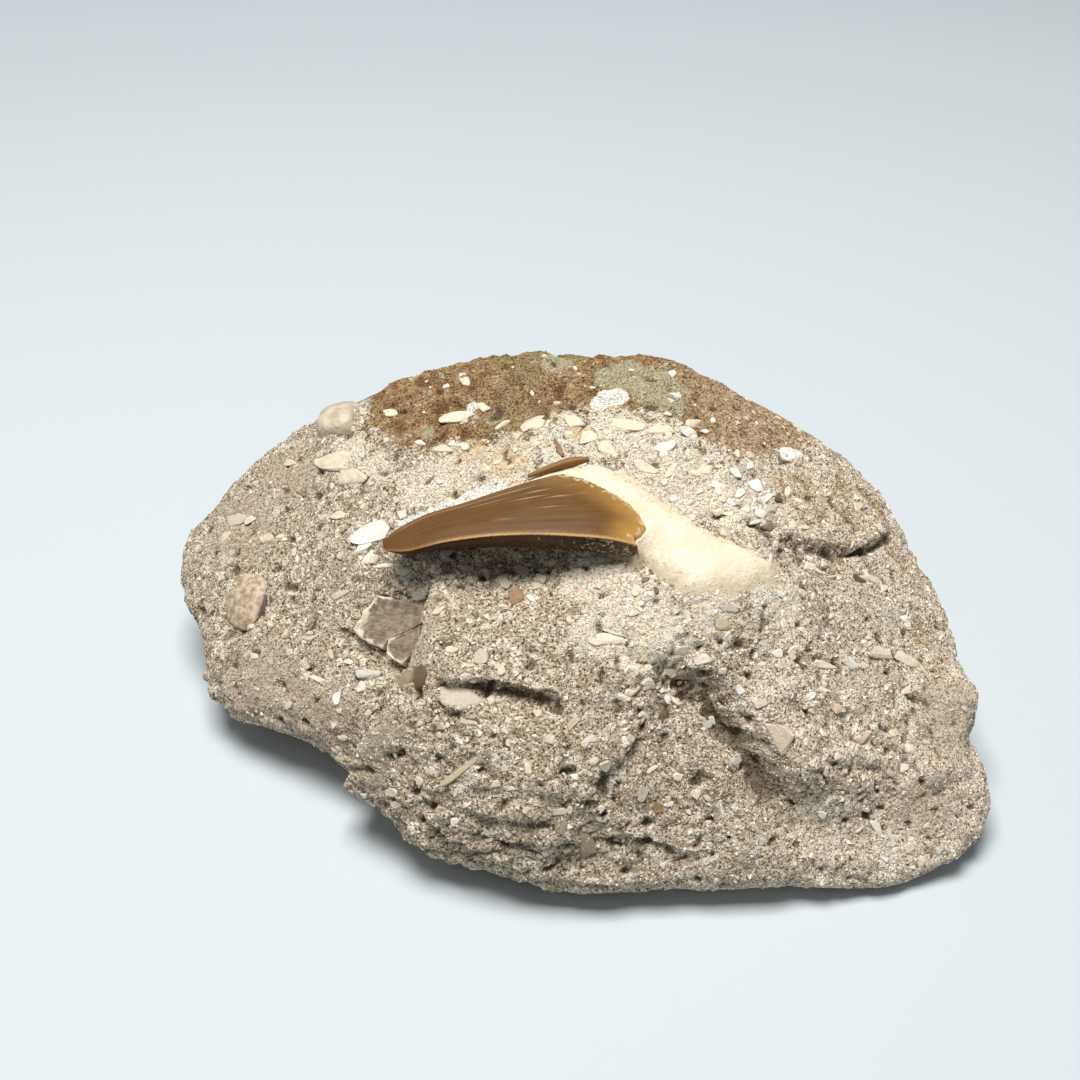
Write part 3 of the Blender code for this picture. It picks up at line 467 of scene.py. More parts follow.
class Value:
    """One output of a material's nodes. Arithmetic with other values or numbers adds the Math node for it."""

    def __init__(self, tree, socket):
        self.tree, self.socket = tree, socket

    def node(self, kind, inputs, output=0, **settings):
        """Adds any other node: its settings first, then its inputs by name or number; returns one output."""
        made = self.tree.nodes.new(kind)
        for key, value in settings.items():
            setattr(made, key, value)
        for key, value in inputs.items():
            if isinstance(value, Value):
                self.tree.links.new(value.socket, made.inputs[key])
            else:
                made.inputs[key].default_value = value
        return Value(self.tree, made.outputs[output])

    def math(self, operation, *terms):
        """Adds a Math node of that operation on the terms."""
        return self.node("ShaderNodeMath", dict(enumerate(terms)), operation=operation)

    def __add__(self, other):
        return self.math("ADD", self, other)

    def __sub__(self, other):
        return self.math("SUBTRACT", self, other)

    def __rsub__(self, other):
        return self.math("SUBTRACT", other, self)

    def __mul__(self, other):
        return self.math("MULTIPLY", self, other)

    __radd__, __rmul__ = __add__, __mul__

    def ramp(self, low, high, start=0, end=1):
        """Rises smoothly from start to end as this value goes from low to high."""
        inputs = {"Value": self, "From Min": low, "From Max": high, "To Min": start, "To Max": end}
        return self.node("ShaderNodeMapRange", inputs, interpolation_type="SMOOTHSTEP")

    def blend(self, low, high):
        """The colour low where this value is 0, and high where it is 1."""
        return self.node("ShaderNodeMix", {0: self, 6: low, 7: high}, 2, data_type="RGBA")

    def noise(self, size, detail=2.0, roughness=0.5):
        """Cloudy noise from 0 to 1 at this place, with lumps of the given size."""
        inputs = {"Vector": self, "Scale": 1 / size, "Detail": detail, "Roughness": roughness}
        return self.node("ShaderNodeTexNoise", inputs)

    def cells(self, size, output="Distance", feature="F1"):
        """Irregular cells of the given size: the distance to a cell's middle, or its random colour."""
        return self.node("ShaderNodeTexVoronoi", {"Vector": self, "Scale": 1 / size}, output, feature=feature)

    def attribute(self, name, output=2):
        """A mark on the mesh: a number, or its colour when output is 0."""
        return self.node("ShaderNodeAttribute", {}, output, attribute_name=name)

    def bump(self, height, distance):
        """The shading normal of a surface that stands out by the height, from 0 to 1, times the distance."""
        return self.node("ShaderNodeBump", {"Height": height, "Distance": distance})


def new_material(name, **constants):
    """A Principled material with its constants set: (material, place in object coordinates, shader)."""
    made = bpy.data.materials.new(name)
    made.use_nodes = True
    shader = made.node_tree.nodes["Principled BSDF"]
    for key, value in constants.items():
        shader.inputs[key.replace("_", " ")].default_value = value
    here = made.node_tree.nodes.new("ShaderNodeTexCoord").outputs["Object"]
    return made, Value(made.node_tree, here), shader


def drive(shader, **values):
    """Connects values to the shader's inputs."""
    for key, value in values.items():
        value.tree.links.new(value.socket, shader.inputs[key.replace("_", " ")])


# The stone's colours, each for its dark grains and its pale ones; the two sands have brightest ones too.
SAND = (tint(88, 68, 44), tint(190, 170, 142), tint(252, 243, 224))
ROSY_SAND = (tint(128, 100, 72), tint(226, 206, 178), tint(255, 246, 230))
CRUST = (tint(92, 62, 32), tint(206, 174, 126))
DEEP_CRUST = (tint(90, 58, 30), tint(162, 120, 74))
REAR_CRUST = (tint(116, 86, 54), tint(226, 200, 160))
OLIVE_CRUST = (tint(112, 94, 58), tint(184, 168, 120))
GREEN_FILM = (tint(158, 148, 116), tint(206, 197, 163))
PALE_CHALK = (tint(226, 207, 176), tint(255, 249, 233))
PALE_FLECK, PALE_DUST_AND_HIGHLIGHT = tint(226, 206, 174), tint(204, 187, 165)
YELLOW_STAIN, PLASTER = tint(238, 206, 152), tint(255, 252, 240)
# Colours of the hollows and of the small pits: dirt, and painted shade.
DIRT_AND_SHADE, PIT_DIRT_AND_SHADE = tint(92, 70, 44), tint(76, 58, 38)
GRAIN_SIZE, CLUMP_SIZE = 0.00029, 0.0013
ROSY_SLOPE, ROSY_START = 30.0, 0.35  # the sand's rosy share: x times the slope, less the start


def sand_colour(place, grain):
    """The stone's colour from its patches, for a grain tone from 0 (a dark gap) to 1 (a pale grain)."""
    patchy = place.noise(0.0030, 4, 0.7)
    fine = place.noise(0.0009, 3, 0.7)
    broad = place.noise(0.016, 3, 0.6)
    along = place.node("ShaderNodeSeparateXYZ", {0: place})
    sand = grain.ramp(0.0, 0.5).blend(*SAND[:2])
    sand = grain.ramp(0.45, 0.95).blend(sand, SAND[2])
    rosy = grain.ramp(0.0, 0.5).blend(*ROSY_SAND[:2])
    rosy = grain.ramp(0.4, 0.9).blend(rosy, ROSY_SAND[2])
    sand = (along * ROSY_SLOPE - ROSY_START + (broad - 0.5) * 3.5).ramp(0.0, 1.0, 0, 0.95).blend(sand, rosy)
    # Paler patches: dusting, and a painted highlight along the main step's crest.
    dust_and_highlight_share = (place.attribute("dust_and_highlight") * 1.3 + (fine - 0.5) * 1.6).ramp(0.0, 0.8, 0, 0.6)
    sand = dust_and_highlight_share.blend(sand, PALE_DUST_AND_HIGHLIGHT)
    crust = grain.blend(*CRUST)
    crust = patchy.ramp(0.48, 0.62).blend(crust, grain.blend(*DEEP_CRUST))
    crust = along.ramp(0.012, 0.026).blend(crust, grain.blend(*REAR_CRUST))
    crust = patchy.ramp(0.34, 0.40, 0.8, 0).blend(crust, PALE_FLECK)
    olive = broad.ramp(0.45, 0.60) * along.math("ABSOLUTE", along).ramp(0.006, 0.020, 0.75, 0.0)
    crust = olive.blend(crust, grain.blend(*OLIVE_CRUST))
    yellow = (place.attribute("yellow") * 1.2 + (patchy - 0.5)).ramp(0.0, 0.6, 0, 0.6)
    chalk = yellow.blend(grain.blend(*PALE_CHALK), YELLOW_STAIN)
    edge = (patchy - 0.5) * 2.4 + (fine - 0.5) * 1.2
    mixed = (place.attribute("chalk") * 1.2 + edge).ramp(0.05, 0.50).blend(sand, chalk)
    mixed = (place.attribute("crust") - 0.5 + edge).ramp(-0.05, 0.20).blend(mixed, crust)
    filmed = (place.attribute("film") * 1.4 + edge * 0.6).ramp(0.10, 0.40)
    mixed = filmed.blend(mixed, grain.blend(*GREEN_FILM))
    mixed = (place.attribute("white") * 1.6 + edge * 0.4).ramp(0.05, 0.35).blend(mixed, PLASTER)
    # Hollows, small and wide, are darkened: dirt that gathers there, and painted shade.
    dirt_and_shade = (place.attribute("hollow") * 0.8 + place.attribute("bowl") + fine - 0.5).ramp(0.15, 1.6, 0, 0.75)
    return dirt_and_shade.blend(mixed, DIRT_AND_SHADE)


def sand_material():
    """Grains of 0.3 mm and clumps of 1 to 2 mm, each its own tone, with dark gaps and pits between them:
    brown grit and painted shade.
    """
    made, place, shader = new_material("sandstone", Roughness=0.95)
    tone = place.node("ShaderNodeSeparateColor", {0: place.cells(GRAIN_SIZE, "Color")})
    clump = place.node("ShaderNodeSeparateColor", {0: place.cells(CLUMP_SIZE, "Color")})
    apart = place.cells(CLUMP_SIZE, 0, "DISTANCE_TO_EDGE")
    cloud = place.noise(0.0009, 6, 0.85)
    # The gaps between grains and the small pits are darkened: their brown grit, and painted shade.
    gap = place.noise(0.00036, 3, 0.65).ramp(0.38, 0.46, 1, 0)
    pit = place.noise(0.0016, 4, 0.75).ramp(0.29, 0.38, 1, 0)
    standing = clump.ramp(0.74, 0.79) * apart.ramp(0.02, 0.10)
    grain = tone * 0.40 + cloud.ramp(0.30, 0.68) * 0.52 + (clump - 0.5) * 0.16 - gap * 0.50
    grain = grain + standing * 0.36 + 0.14
    grain = grain.math("MINIMUM", grain.math("MAXIMUM", grain, 0.0), 1.0)
    colour = (pit * 0.70).blend(sand_colour(place, grain), PIT_DIRT_AND_SHADE)
    relief = cloud * 0.7 + standing * 0.35 - place.cells(GRAIN_SIZE) * 0.3 - pit - gap * 0.5
    drive(shader, Base_Color=colour, Normal=place.bump(relief, 0.00055))
    return made


STONE_FIT = fit_skin(SKYLINE + HEM + FACE + BACK + UNDERSIDE)
corners, stone_faces = cube_shell(STONE_CELLS)
arms = unit(unit(np.tan(corners * np.pi / 4)) + ARM_LEAN)
stone = stone_skin(arms)
out = face_out(stone, stone_faces)
inside = -beside(stone, PUTTY_EDGE + PUTTY_EDGE[:1])[1]
near_putty = np.linalg.norm(stone - PUTTY_MIDDLE, axis=1) < PUTTY_REACH
under_putty = np.clip((inside - SEAT_START) / SEAT_FADE, 0, 1) * near_putty
foot = np.clip((stone[:, 2] - FOOT_START) / FOOT_FADE, 0, 1)
# The skin is most crumbled in some areas, and least on the left lobe; thin layers show only low on the front.
unevenness = 0.85 + 1.1 * lumpiness(stone, CRUMBLE_AREAS, 23) - 0.35 * smoothstep(-0.022, -0.034, stone[:, 0])
crumble = sum(
    height * (np.abs(lumpiness(stone, size, 10 + k)) - CRUMBLE_REST)
    for k, (size, height) in enumerate(CRUMBLE)
)
low = np.clip((LAYER_TOP - stone[:, 2]) / LAYER_FADE, 0, 1) * np.clip(-stone[:, 1] / 0.02, 0, 1)
low *= smoothstep(0.022, 0.008, stone[:, 0])
layered = (np.abs(lumpiness(stone / LAYER_STRETCH, LAYERS[0], 20)) - CRUMBLE_REST) * low
pocks = -np.clip(lumpiness(stone, POCKS[0], 21) - POCK_SHARE, 0, POCK_SHARE) * POCKS[1]
grit = np.random.default_rng(22).normal(size=len(stone)) * GRIT
rough = crumble * np.clip(unevenness, 0.35, 1.5) + layered * LAYERS[1] + pocks + grit
rough = rough * (1 - 0.80 * under_putty) - SEAT_DEPTH * under_putty - WORN
stone = stone + out * (rough * foot)[:, None]
drawn_in = UNDERCUT * np.clip(1 - stone[:, 2] / UNDERCUT_HEIGHT, 0, 1) ** 1.5
stone[:, :2] = stone[:, :2] * (1 - drawn_in[:, None])
stone[:, 2] = np.maximum(stone[:, 2], 0)
stone_out = face_out(stone, stone_faces)
smoother = blurred(stone, stone_faces, 5)
smoothest = blurred(smoother, stone_faces, 60)
border = np.interp(stone[:, 0], *np.array(CRUST_BORDER).T)
# Behind the skyline the crust is torn into islands.
torn = 1.1 * lumpiness(stone, 0.0075, 24) * smoothstep(0.016, 0.028, stone[:, 1])
crust = np.clip((stone[:, 1] - border) / CRUST_FADE + 0.5 + torn, 0, 1)
marks = {
    "crust": np.maximum(crust, 0.45 * np.clip(2 * patches(stone, TAN), 0, 1)),
    "film": patches(stone, FILM),
    "chalk": patches(stone, CHALK),
    "white": patches(stone, WHITE),
    "yellow": patches(stone, YELLOW),
    "dust_and_highlight": patches(stone, DUST_AND_CREST_HIGHLIGHT),
    "hollow": np.sum((smoother - stone) * stone_out, axis=1) / PIT_DEPTH,
    "bowl": np.sum((smoothest - stone) * stone_out, axis=1) / BOWL_DEPTH,
}
sandstone = sand_material()
matrix = add_piece("stone_matrix", stone, stone_faces, sandstone, marks)
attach(matrix, "root")
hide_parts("matrix")


# The tooth's crown: a blade of brown enamel, flat above and full below, that stands free of the stone along
# its lower edge and runs into the putty at its base. Its lower cutting edge carries a fine, worn saw of about
# four teeth a millimetre. Both edges are given from the base to the tip.
CROWN_LOWER = (
    (0.0146, -0.009, 0.0352), (0.0128, -0.0112, 0.038), (0.01, -0.0123, 0.0397), (0.006, -0.0122, 0.0408),
    (0.0012, -0.0118, 0.041), (-0.0042, -0.011, 0.0406), (-0.0104, -0.0104, 0.0398),
    (-0.0166, -0.01, 0.0384), (-0.0218, -0.0098, 0.0366), (-0.0252, -0.0084, 0.0354),
)
CROWN_UPPER = (
    (0.0138, 0.002, 0.0355), (0.0106, 0.0035, 0.0388), (0.0056, 0.004, 0.0408), (0.0, 0.0016, 0.0414),
    (-0.0042, 0.0006, 0.041), (-0.0092, -0.0006, 0.04), (-0.0146, -0.002, 0.0388),
    (-0.0198, -0.0028, 0.0374), (-0.024, -0.0046, 0.036), (-0.0258, -0.0064, 0.0353),
)
# Where the enamel ends and the putty begins: straight down across the base from the upper edge's peak.
CROWN_BASE = (
    (-0.0002, 0.0014, 0.0416), (0.0022, 0.0002, 0.0413), (0.005, -0.0016, 0.0409),
    (0.0078, -0.0035, 0.0404), (0.0098, -0.0053, 0.0399), (0.011, -0.008, 0.0393),
    (0.0105, -0.0095, 0.0393), (0.0095, -0.0107, 0.0393), (0.0094, -0.0114, 0.0392),
    (0.0099, -0.0125, 0.0386), (0.0103, -0.0137, 0.0376),
)
CROWN_BULGE = 0.0008  # how far the flatter face swells
BULGE_FADE = (4.2, 4)  # the bulge levels out towards the tip: a share that falls from 4.2 by 4, and at most 1
CROWN_KEEL = 0.0064  # how far the rounder underside swells
KEEL_FADE = (1.06, 2.2)  # its share at the base, and the power of the way to the tip by which it falls
CROWN_ROWS = 220  # points along the crown
CROWN_TOP, CROWN_UNDER = 96, 48  # points across its face and its underside
SAW = ((150, 0.00003), (41, 0.00002))  # (waves along the lower edge, depth)
RIPPLE = 0.000012  # height of the faint ripples along the face
BASE_RAGS = ((0.0011, 0.00025, 35), (0.0004, 0.00015, 36))  # (size, width, seed) of the base line's rags
BASE_DROP, BASE_RUN = 0.007, 0.0006  # how deep it sinks into the putty, and in what run past its base line
AMBER_START, AMBER_END = -0.0052, -0.0002  # the amber band, from the base line
HAIR_WIDTH, HAIR_FADE = 0.00005, 14  # a hairline fades in over 1 / 14 of the crown's length
HAIR_WAVE = 0.012  # how far it wavers, as a share of the crown's breadth
RIM_WIDTH = 0.00038
# Fine pale lines in the enamel: (share across from the lower edge, shares along of its ends, strength)
HAIRLINES = (
    (0.86, 0.4, 0.92, 0.9), (0.76, 0.3, 0.7, 0.8), (0.66, 0.28, 0.62, 0.7), (0.6, 0.34, 0.55, 0.6),
    (0.7, 0.14, 0.36, 0.9), (0.62, 0.14, 0.36, 0.8), (0.53, 0.16, 0.34, 0.5), (0.44, 0.2, 0.6, 0.4),
    (0.29, 0.56, 0.66, 0.5), (0.31, 0.57, 0.65, 0.6), (0.33, 0.58, 0.64, 0.5),
)


PLAN_LEGS = 6  # straight legs for each place, on a path seen from above


def plan_beside(points, path):
    """Seen from above: how far each point lies to the left of a path, and the height of its nearest place."""
    path = smooth_path(path, PLAN_LEGS * len(path))
    start, leg = path[:-1, :2], np.diff(path[:, :2], axis=0)
    arm = points[:, None, :2] - start
    share = np.clip(np.einsum("psk,sk->ps", arm, leg) / np.sum(leg**2, axis=1), 0, 1)
    off = arm - share[..., None] * leg
    gap = np.linalg.norm(off, axis=2)
    near = gap.argmin(axis=1)
    row = np.arange(len(points))
    left = leg[near, 0] * off[row, near, 1] - leg[near, 1] * off[row, near, 0]
    return np.sign(left) * gap[row, near], path[near, 2]


def uneven(points, layers):
    """Lumps of several sizes added up, each layer as (size, height, seed)."""
    return sum(height * lumpiness(points, size, seed) for size, height, seed in layers)


def closed_loft(rings):
    """A closed body over rows of points that each run round it, with a fan of faces over each end row."""
    rows, around = rings.shape[:2]
    points = np.vstack([rings.reshape(-1, 3), rings[0].mean(axis=0), rings[-1].mean(axis=0)])
    i = np.arange(around)
    j = (i + 1) % around
    low = np.arange(rows - 1)[:, None] * around
    sides = np.stack([low + i, low + j, low + around + j, low + around + i], axis=-1).reshape(-1, 4)
    last = (rows - 1) * around
    first_fan = np.stack([j, i, np.full(around, rows * around)], axis=-1)
    last_fan = np.stack([last + i, last + j, np.full(around, rows * around + 1)], axis=-1)
    return points, np.vstack([sides[:, [0, 1, 2]], sides[:, [0, 2, 3]], first_fan, last_fan])


ENAMEL = (tint(98, 66, 33), tint(112, 79, 42))  # its darker and its paler streaks
# Clouded enamel, and the paler upper band: pinkish, with a painted reflection of the sky.
CLOUDED_ENAMEL, UPPER_ENAMEL_AND_SHEEN = tint(114, 80, 44), tint(120, 92, 66)
AMBER, SMEARED_PUTTY, RED_TIP = tint(178, 136, 70), tint(226, 206, 164), tint(112, 56, 30)
HAIRLINE, WORN_RIM = tint(226, 200, 156), tint(196, 152, 96)
# The underside's colours are painted shade: darker copies of the enamel and its amber.
SHADED_KEEL, SHADED_AMBER_KEEL = (tint(42, 25, 11), tint(80, 54, 26)), tint(120, 92, 50)
STUCK_SAND = (tint(96, 80, 58), tint(222, 206, 178))


def enamel_material():
    """Brown enamel under a clear gloss: amber where it thins at the base, pale hairlines, a worn tan rim, a
    painted sheen along its upper band and painted shade over its underside.
    """
    made, place, shader = new_material(
        "enamel", Coat_Weight=0.05, Coat_Roughness=0.22, Specular_IOR_Level=0.2
    )
    across, along, under = place.attribute("across"), place.attribute("along"), place.attribute("under")
    amber, hair = place.attribute("amber"), place.attribute("hair")
    stretched = place.node("ShaderNodeCombineXYZ", {0: across, 1: along * 0.10, 2: under})
    streak = stretched.noise(0.030, 3, 0.6)
    cloud = place.noise(0.004, 3, 0.6)
    body = streak.ramp(0.3, 0.7).blend(*ENAMEL)
    body = (cloud.ramp(0.4, 0.7) * 0.4).blend(body, CLOUDED_ENAMEL)
    # The upper band is paler and greyer: a pinkish band with a painted reflection of the sky.
    body = ((across - 0.74) * 4).ramp(0, 1, 0, 0.7).blend(body, UPPER_ENAMEL_AND_SHEEN)
    body = (amber * across.ramp(0.30, 0.80, 1.0, 0.35)).blend(body, AMBER)
    smear = amber + (place.noise(0.0008, 5, 0.8) - 0.5) * 0.8
    body = smear.ramp(0.96, 1.08, 0, 0.8).blend(body, SMEARED_PUTTY)
    body = along.ramp(0.94, 1.0, 0, 0.8).blend(body, RED_TIP)
    body = (hair * 0.75).blend(body, HAIRLINE)
    body = (place.attribute("rim") * cloud.ramp(0.3, 0.5, 0.7, 1.0)).blend(body, WORN_RIM)
    # The underside is painted darker than the face: painted shade, with sand stuck on it.
    keel = streak.ramp(0.3, 0.7).blend(*SHADED_KEEL)
    keel = (amber * 0.5).blend(keel, SHADED_AMBER_KEEL)
    stuck = place.noise(0.0007, 4, 0.7) + across.ramp(0.0, 0.5, 0, 0.10) - along * 0.45
    keel = stuck.ramp(0.37, 0.45, 0, 0.9).blend(keel, place.noise(0.0003).ramp(0.4, 0.6).blend(*STUCK_SAND))
    body = under.ramp(0.3, 0.7).blend(body, keel)
    relief = place.bump(streak * 0.25 + hair * 0.3 + cloud * 0.4, 0.00005)
    drive(shader, Base_Color=body, Roughness=cloud.ramp(0.3, 0.7, 0.40, 0.55), Normal=relief)
    return made


# t runs from 0 at the base to 1 at the tip, and q from -1 at the lower edge to 1 at the upper one.
lower = smooth_path(CROWN_LOWER, CROWN_ROWS)[:, None]
upper = smooth_path(CROWN_UPPER, CROWN_ROWS)[:, None]
t = np.linspace(0, 1, CROWN_ROWS)[:, None, None]
saw = sum(depth * np.sin(t * 2 * np.pi * waves) for waves, depth in SAW)
lower = lower + np.array([0, 1, 0]) * saw
q = np.cos(np.linspace(np.pi, 0, CROWN_TOP))[None, :, None]
flat = lower + (upper - lower) * (q + 1) / 2
bulge = CROWN_BULGE * (1 - q**2) * np.minimum(1, BULGE_FADE[0] - BULGE_FADE[1] * t)
top = flat + np.array([0, 0, 1]) * (bulge + RIPPLE * np.sin(q * 30 + 3 * t) * (1 - q**2))
q_under = np.cos(np.linspace(0, np.pi, CROWN_UNDER))[None, 1:-1, None]
flat_under = lower + (upper - lower) * (q_under + 1) / 2
keel = np.sqrt(np.maximum(1 - q_under**2, 0)) * (KEEL_FADE[0] - t ** KEEL_FADE[1])
under = flat_under - np.array([0, 0, CROWN_KEEL]) * keel
crown, crown_faces = closed_loft(np.concatenate([top, under], axis=1)[:, ::-1])
beyond = plan_beside(crown, CROWN_BASE)[0] + uneven(crown, BASE_RAGS)
crown[:, 2] -= BASE_DROP * smoothstep(0, BASE_RUN, beyond) + np.clip(beyond - BASE_RUN, 0, 1)
across = np.concatenate([(q + 1) / 2, (q_under + 1) / 2], axis=1)[:, ::-1, 0].repeat(CROWN_ROWS, axis=0)
along = np.broadcast_to(t[:, :, 0], across.shape)
is_under = np.concatenate([np.zeros(CROWN_TOP), np.ones(CROWN_UNDER - 2)])[::-1] * np.ones((CROWN_ROWS, 1))
breadth = np.linalg.norm(upper - lower, axis=2)
hair = np.zeros(across.shape)
for where, start, end, strength in HAIRLINES:
    line = where + HAIR_WAVE * np.sin(along * 9 + where * 40)
    fade = np.clip(np.minimum(along - start, end - along) * HAIR_FADE, 0, 1)
    hair = np.maximum(hair, strength * fade * np.exp(-(((across - line) * breadth / HAIR_WIDTH) ** 2)))
rim = np.exp(-((across * breadth / RIM_WIDTH) ** 2)) * (1 - is_under)
rim = rim * (1 - 0.7 * smoothstep(0.70, 0.95, along))  # weaker towards the tip
ends = np.zeros(2)
crown_marks = {
    "amber": smoothstep(AMBER_START, AMBER_END, beyond),
    "across": np.concatenate([across.ravel(), ends + 0.5]),
    "along": np.concatenate([along.ravel(), [0, 1]]),
    "under": np.concatenate([is_under.ravel(), ends]),
    "hair": np.concatenate([(hair * (1 - is_under)).ravel(), ends]),
    "rim": np.concatenate([rim.ravel(), ends]),
}
enamel = enamel_material()
tooth = add_piece("crown_enamel", crown, crown_faces, enamel, crown_marks)
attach(tooth, "root")
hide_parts("tooth_crown")


# A sliver of the tooth's enamel that broke off its upper side and lies bedded in the putty just behind it.
SPLINTER = (
    (-0.0052, 0.0021, 0.0405), (-0.0007, 0.0033, 0.0416), (0.0015, 0.0037, 0.042), (0.0035, 0.0038, 0.0423),
)
SPLINTER_WIDTH = SPLINTER_DEPTH = 0.0013
SPLINTER_ROWS, SPLINTER_AROUND = 80, 40
SPLINTER_ENDS = (0.06, 0.94)  # it narrows like a half wave, cut off this far along at either end

path = smooth_path(SPLINTER, SPLINTER_ROWS)
taper = np.sqrt(np.sin(np.linspace(*SPLINTER_ENDS, SPLINTER_ROWS) * np.pi))[:, None, None]
side = unit(np.cross(np.gradient(path, axis=0), [0, 0, 1]))[:, None]
turn = np.linspace(0, 2 * np.pi, SPLINTER_AROUND, endpoint=False)[None, :, None]
rings = side * np.cos(turn) * SPLINTER_WIDTH / 2 + np.array([0, 0, SPLINTER_DEPTH / 2]) * np.sin(turn)
sliver, sliver_faces = closed_loft((path[:, None] + rings * taper)[:, ::-1])
sliver_marks = {"across": np.full(len(sliver), 0.3), "amber": np.full(len(sliver), 0.35)}
splinter = add_piece("splinter_enamel", sliver, sliver_faces, enamel, sliver_marks)
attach(splinter, "root")
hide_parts("tooth_splinter")


# Putty: cream plaster that the preparator pressed round the tooth's base to hold it. It is smooth, stands up
# in a bank against the enamel and thins out to nothing over the stone. The seam is the line where it meets
# the enamel, behind the crown from near its tip and down across its base.
PUTTY_SEAM = (
    (-0.0205, -0.0031, 0.0372), (-0.0149, -0.0018, 0.0387), (-0.0103, -0.0007, 0.04),
    (-0.0049, 0.0008, 0.0409), (-0.0012, 0.0017, 0.0414), *CROWN_BASE[1:],
)
PUTTY_LEFT, PUTTY_RIGHT, PUTTY_FRONT, PUTTY_REAR = -0.022, 0.0325, -0.019, 0.008  # its grid, seen from above
PUTTY_CELL = 0.0002
PUTTY_DEPTH = 0.0016  # how far it goes down into the stone
GROUND_GUESS, GROUND_ROUNDS = 0.038, 4  # height that the search for the stone starts from, and its rounds
EDGE_RAGS = ((0.0012, 0.00035, 32), (0.004, 0.0006, 33))  # (size, width, seed) of its outline's ragged bits
FILM_HEIGHT = 0.00035  # how thick it lies on the stone
FILM_START, FILM_FULL = 0.001, 0.005  # how far inside its outline the film begins, and is at its full height
DIP, DIP_START, DIP_FULL = 0.0006, 0.0022, -0.0008  # it dips under the stone's skin at its outline
BASE_START, BASE_FULL = -0.0008, 0.0012  # x where the seam leaves the crown's back and turns across its base
SEAM_DROP = 0.00012  # how far the bank stays under the enamel's rim
BANK_SLOPE = 0.15
SHOULDER, SHOULDER_RUN = 0.0002, 0.0005  # height and width of the bank's rounded shoulder
BANK_POWERS = (1.8, 0.7)  # how hollow the bank is behind the crown, and how much less so across its base
BANK_START, BANK_FULL = -0.0202, -0.015  # x where the bank begins near the tip, and is at its full height
BANK_FOOT = 0.0006  # width inside the outline over which it comes in
LIP_START, LIP_FULL, LIP_RAGS = -0.00015, 0.00005, ((0.0006, 0.00008, 34),)  # its edge along the enamel
PRESSED = ((0.0026, 0.0001, 30), (0.0007, 0.00005, 31))  # (size, height, seed) of its thumbed surface
OVERLAP = 0.001  # how far its skin goes on past the outline, under the stone's
UNDER_CROWN, BEFORE_CROWN = -0.004, -0.012  # how far it goes under the crown; in front of this y it is whole
EDGE_WIDTH = 0.0045  # width of the sandy border
PUTTY_WHITE = (tint(234, 219, 191), tint(245, 234, 213))
SANDY_PUTTY, PUTTY_SPECK = tint(220, 202, 172), tint(150, 124, 90)


def putty_material():
    """Cream plaster, nearly smooth, with faint sandy specks of the stone mixed into it towards its edge."""
    made, place, shader = new_material("putty", Roughness=0.85)
    cloud = place.noise(0.004, 3, 0.6)
    specks = place.noise(0.0005, 3, 0.7)
    body = cloud.ramp(0.35, 0.7).blend(*PUTTY_WHITE)
    edge = place.attribute("edge")
    body = ((edge - 0.40) * 1.5 + (specks - 0.5) * 2.4).ramp(0.05, 0.8, 0, 0.85).blend(body, SANDY_PUTTY)
    body = (specks + edge * 0.10).ramp(0.68, 0.73, 0, 0.5).blend(body, PUTTY_SPECK)
    drive(shader, Base_Color=body, Normal=place.bump(specks * 0.8 + cloud * 0.4, 0.00022))
    return made


def level_ground(places):
    """The smooth stone straight below or above each place, found by moving a guess by how far it misses."""
    height = np.full(len(places), GROUND_GUESS)
    for _ in range(GROUND_ROUNDS):
        arms = (np.column_stack([places, height]) - STONE_HEART) * STONE_PLUMP
        found = (stone_skin(unit(arms)) - STONE_HEART) * STONE_PLUMP
        height += (np.linalg.norm(found, axis=1) - np.linalg.norm(arms, axis=1)) / STONE_PLUMP[2]
    return height


x, y = np.meshgrid(
    np.arange(PUTTY_LEFT, PUTTY_RIGHT, PUTTY_CELL), np.arange(PUTTY_FRONT, PUTTY_REAR, PUTTY_CELL)
)
grid = x.shape
plan = np.column_stack([x.ravel(), y.ravel()])
ground = level_ground(plan)
seam = smooth_path(PUTTY_SEAM, 90)
over_crown = top.reshape(-1, 3)
seam[:, 2] = over_crown[((seam[:, None, :2] - over_crown[:, :2]) ** 2).sum(axis=2).argmin(axis=1), 2]
behind, seam_height = plan_beside(plan, seam)
flat_places = np.column_stack([plan, ground])
within = -plan_beside(plan, PUTTY_EDGE + PUTTY_EDGE[:1])[0] + uneven(flat_places, EDGE_RAGS)
film = FILM_HEIGHT * smoothstep(FILM_START, FILM_FULL, within) - DIP * smoothstep(DIP_START, DIP_FULL, within)
at_base = smoothstep(BASE_START, BASE_FULL, plan[:, 0])  # 0 behind the crown, 1 across its base
away = np.maximum(behind, 0)
bank = seam_height - SEAM_DROP - BANK_SLOPE * away + SHOULDER * (1 - np.exp(-away / SHOULDER_RUN))
share_out = away / (away + np.maximum(within, 0) + 0.0001)  # 0 at the seam, 1 at the outline
lift = np.maximum(bank - ground - film, 0) * (1 - share_out) ** (BANK_POWERS[0] - BANK_POWERS[1] * at_base)
lift *= smoothstep(BANK_START, BANK_FULL, plan[:, 0]) * smoothstep(0, BANK_FOOT, within)
lift *= smoothstep(LIP_START, LIP_FULL, behind + uneven(flat_places, LIP_RAGS))
over = (ground + film + lift).reshape(grid)
for _ in range(3):
    over = np.pad(over, 1, mode="edge")
    over = (over[:-2, 1:-1] + over[2:, 1:-1] + over[1:-1, :-2] + over[1:-1, 2:] + 2 * over[1:-1, 1:-1]) / 6
over = over.ravel() + uneven(flat_places, PRESSED)
top_rows = np.column_stack([plan, over]).reshape(*grid, 3)
low_rows = np.column_stack([plan, np.minimum(ground, over) - PUTTY_DEPTH]).reshape(*grid, 3)
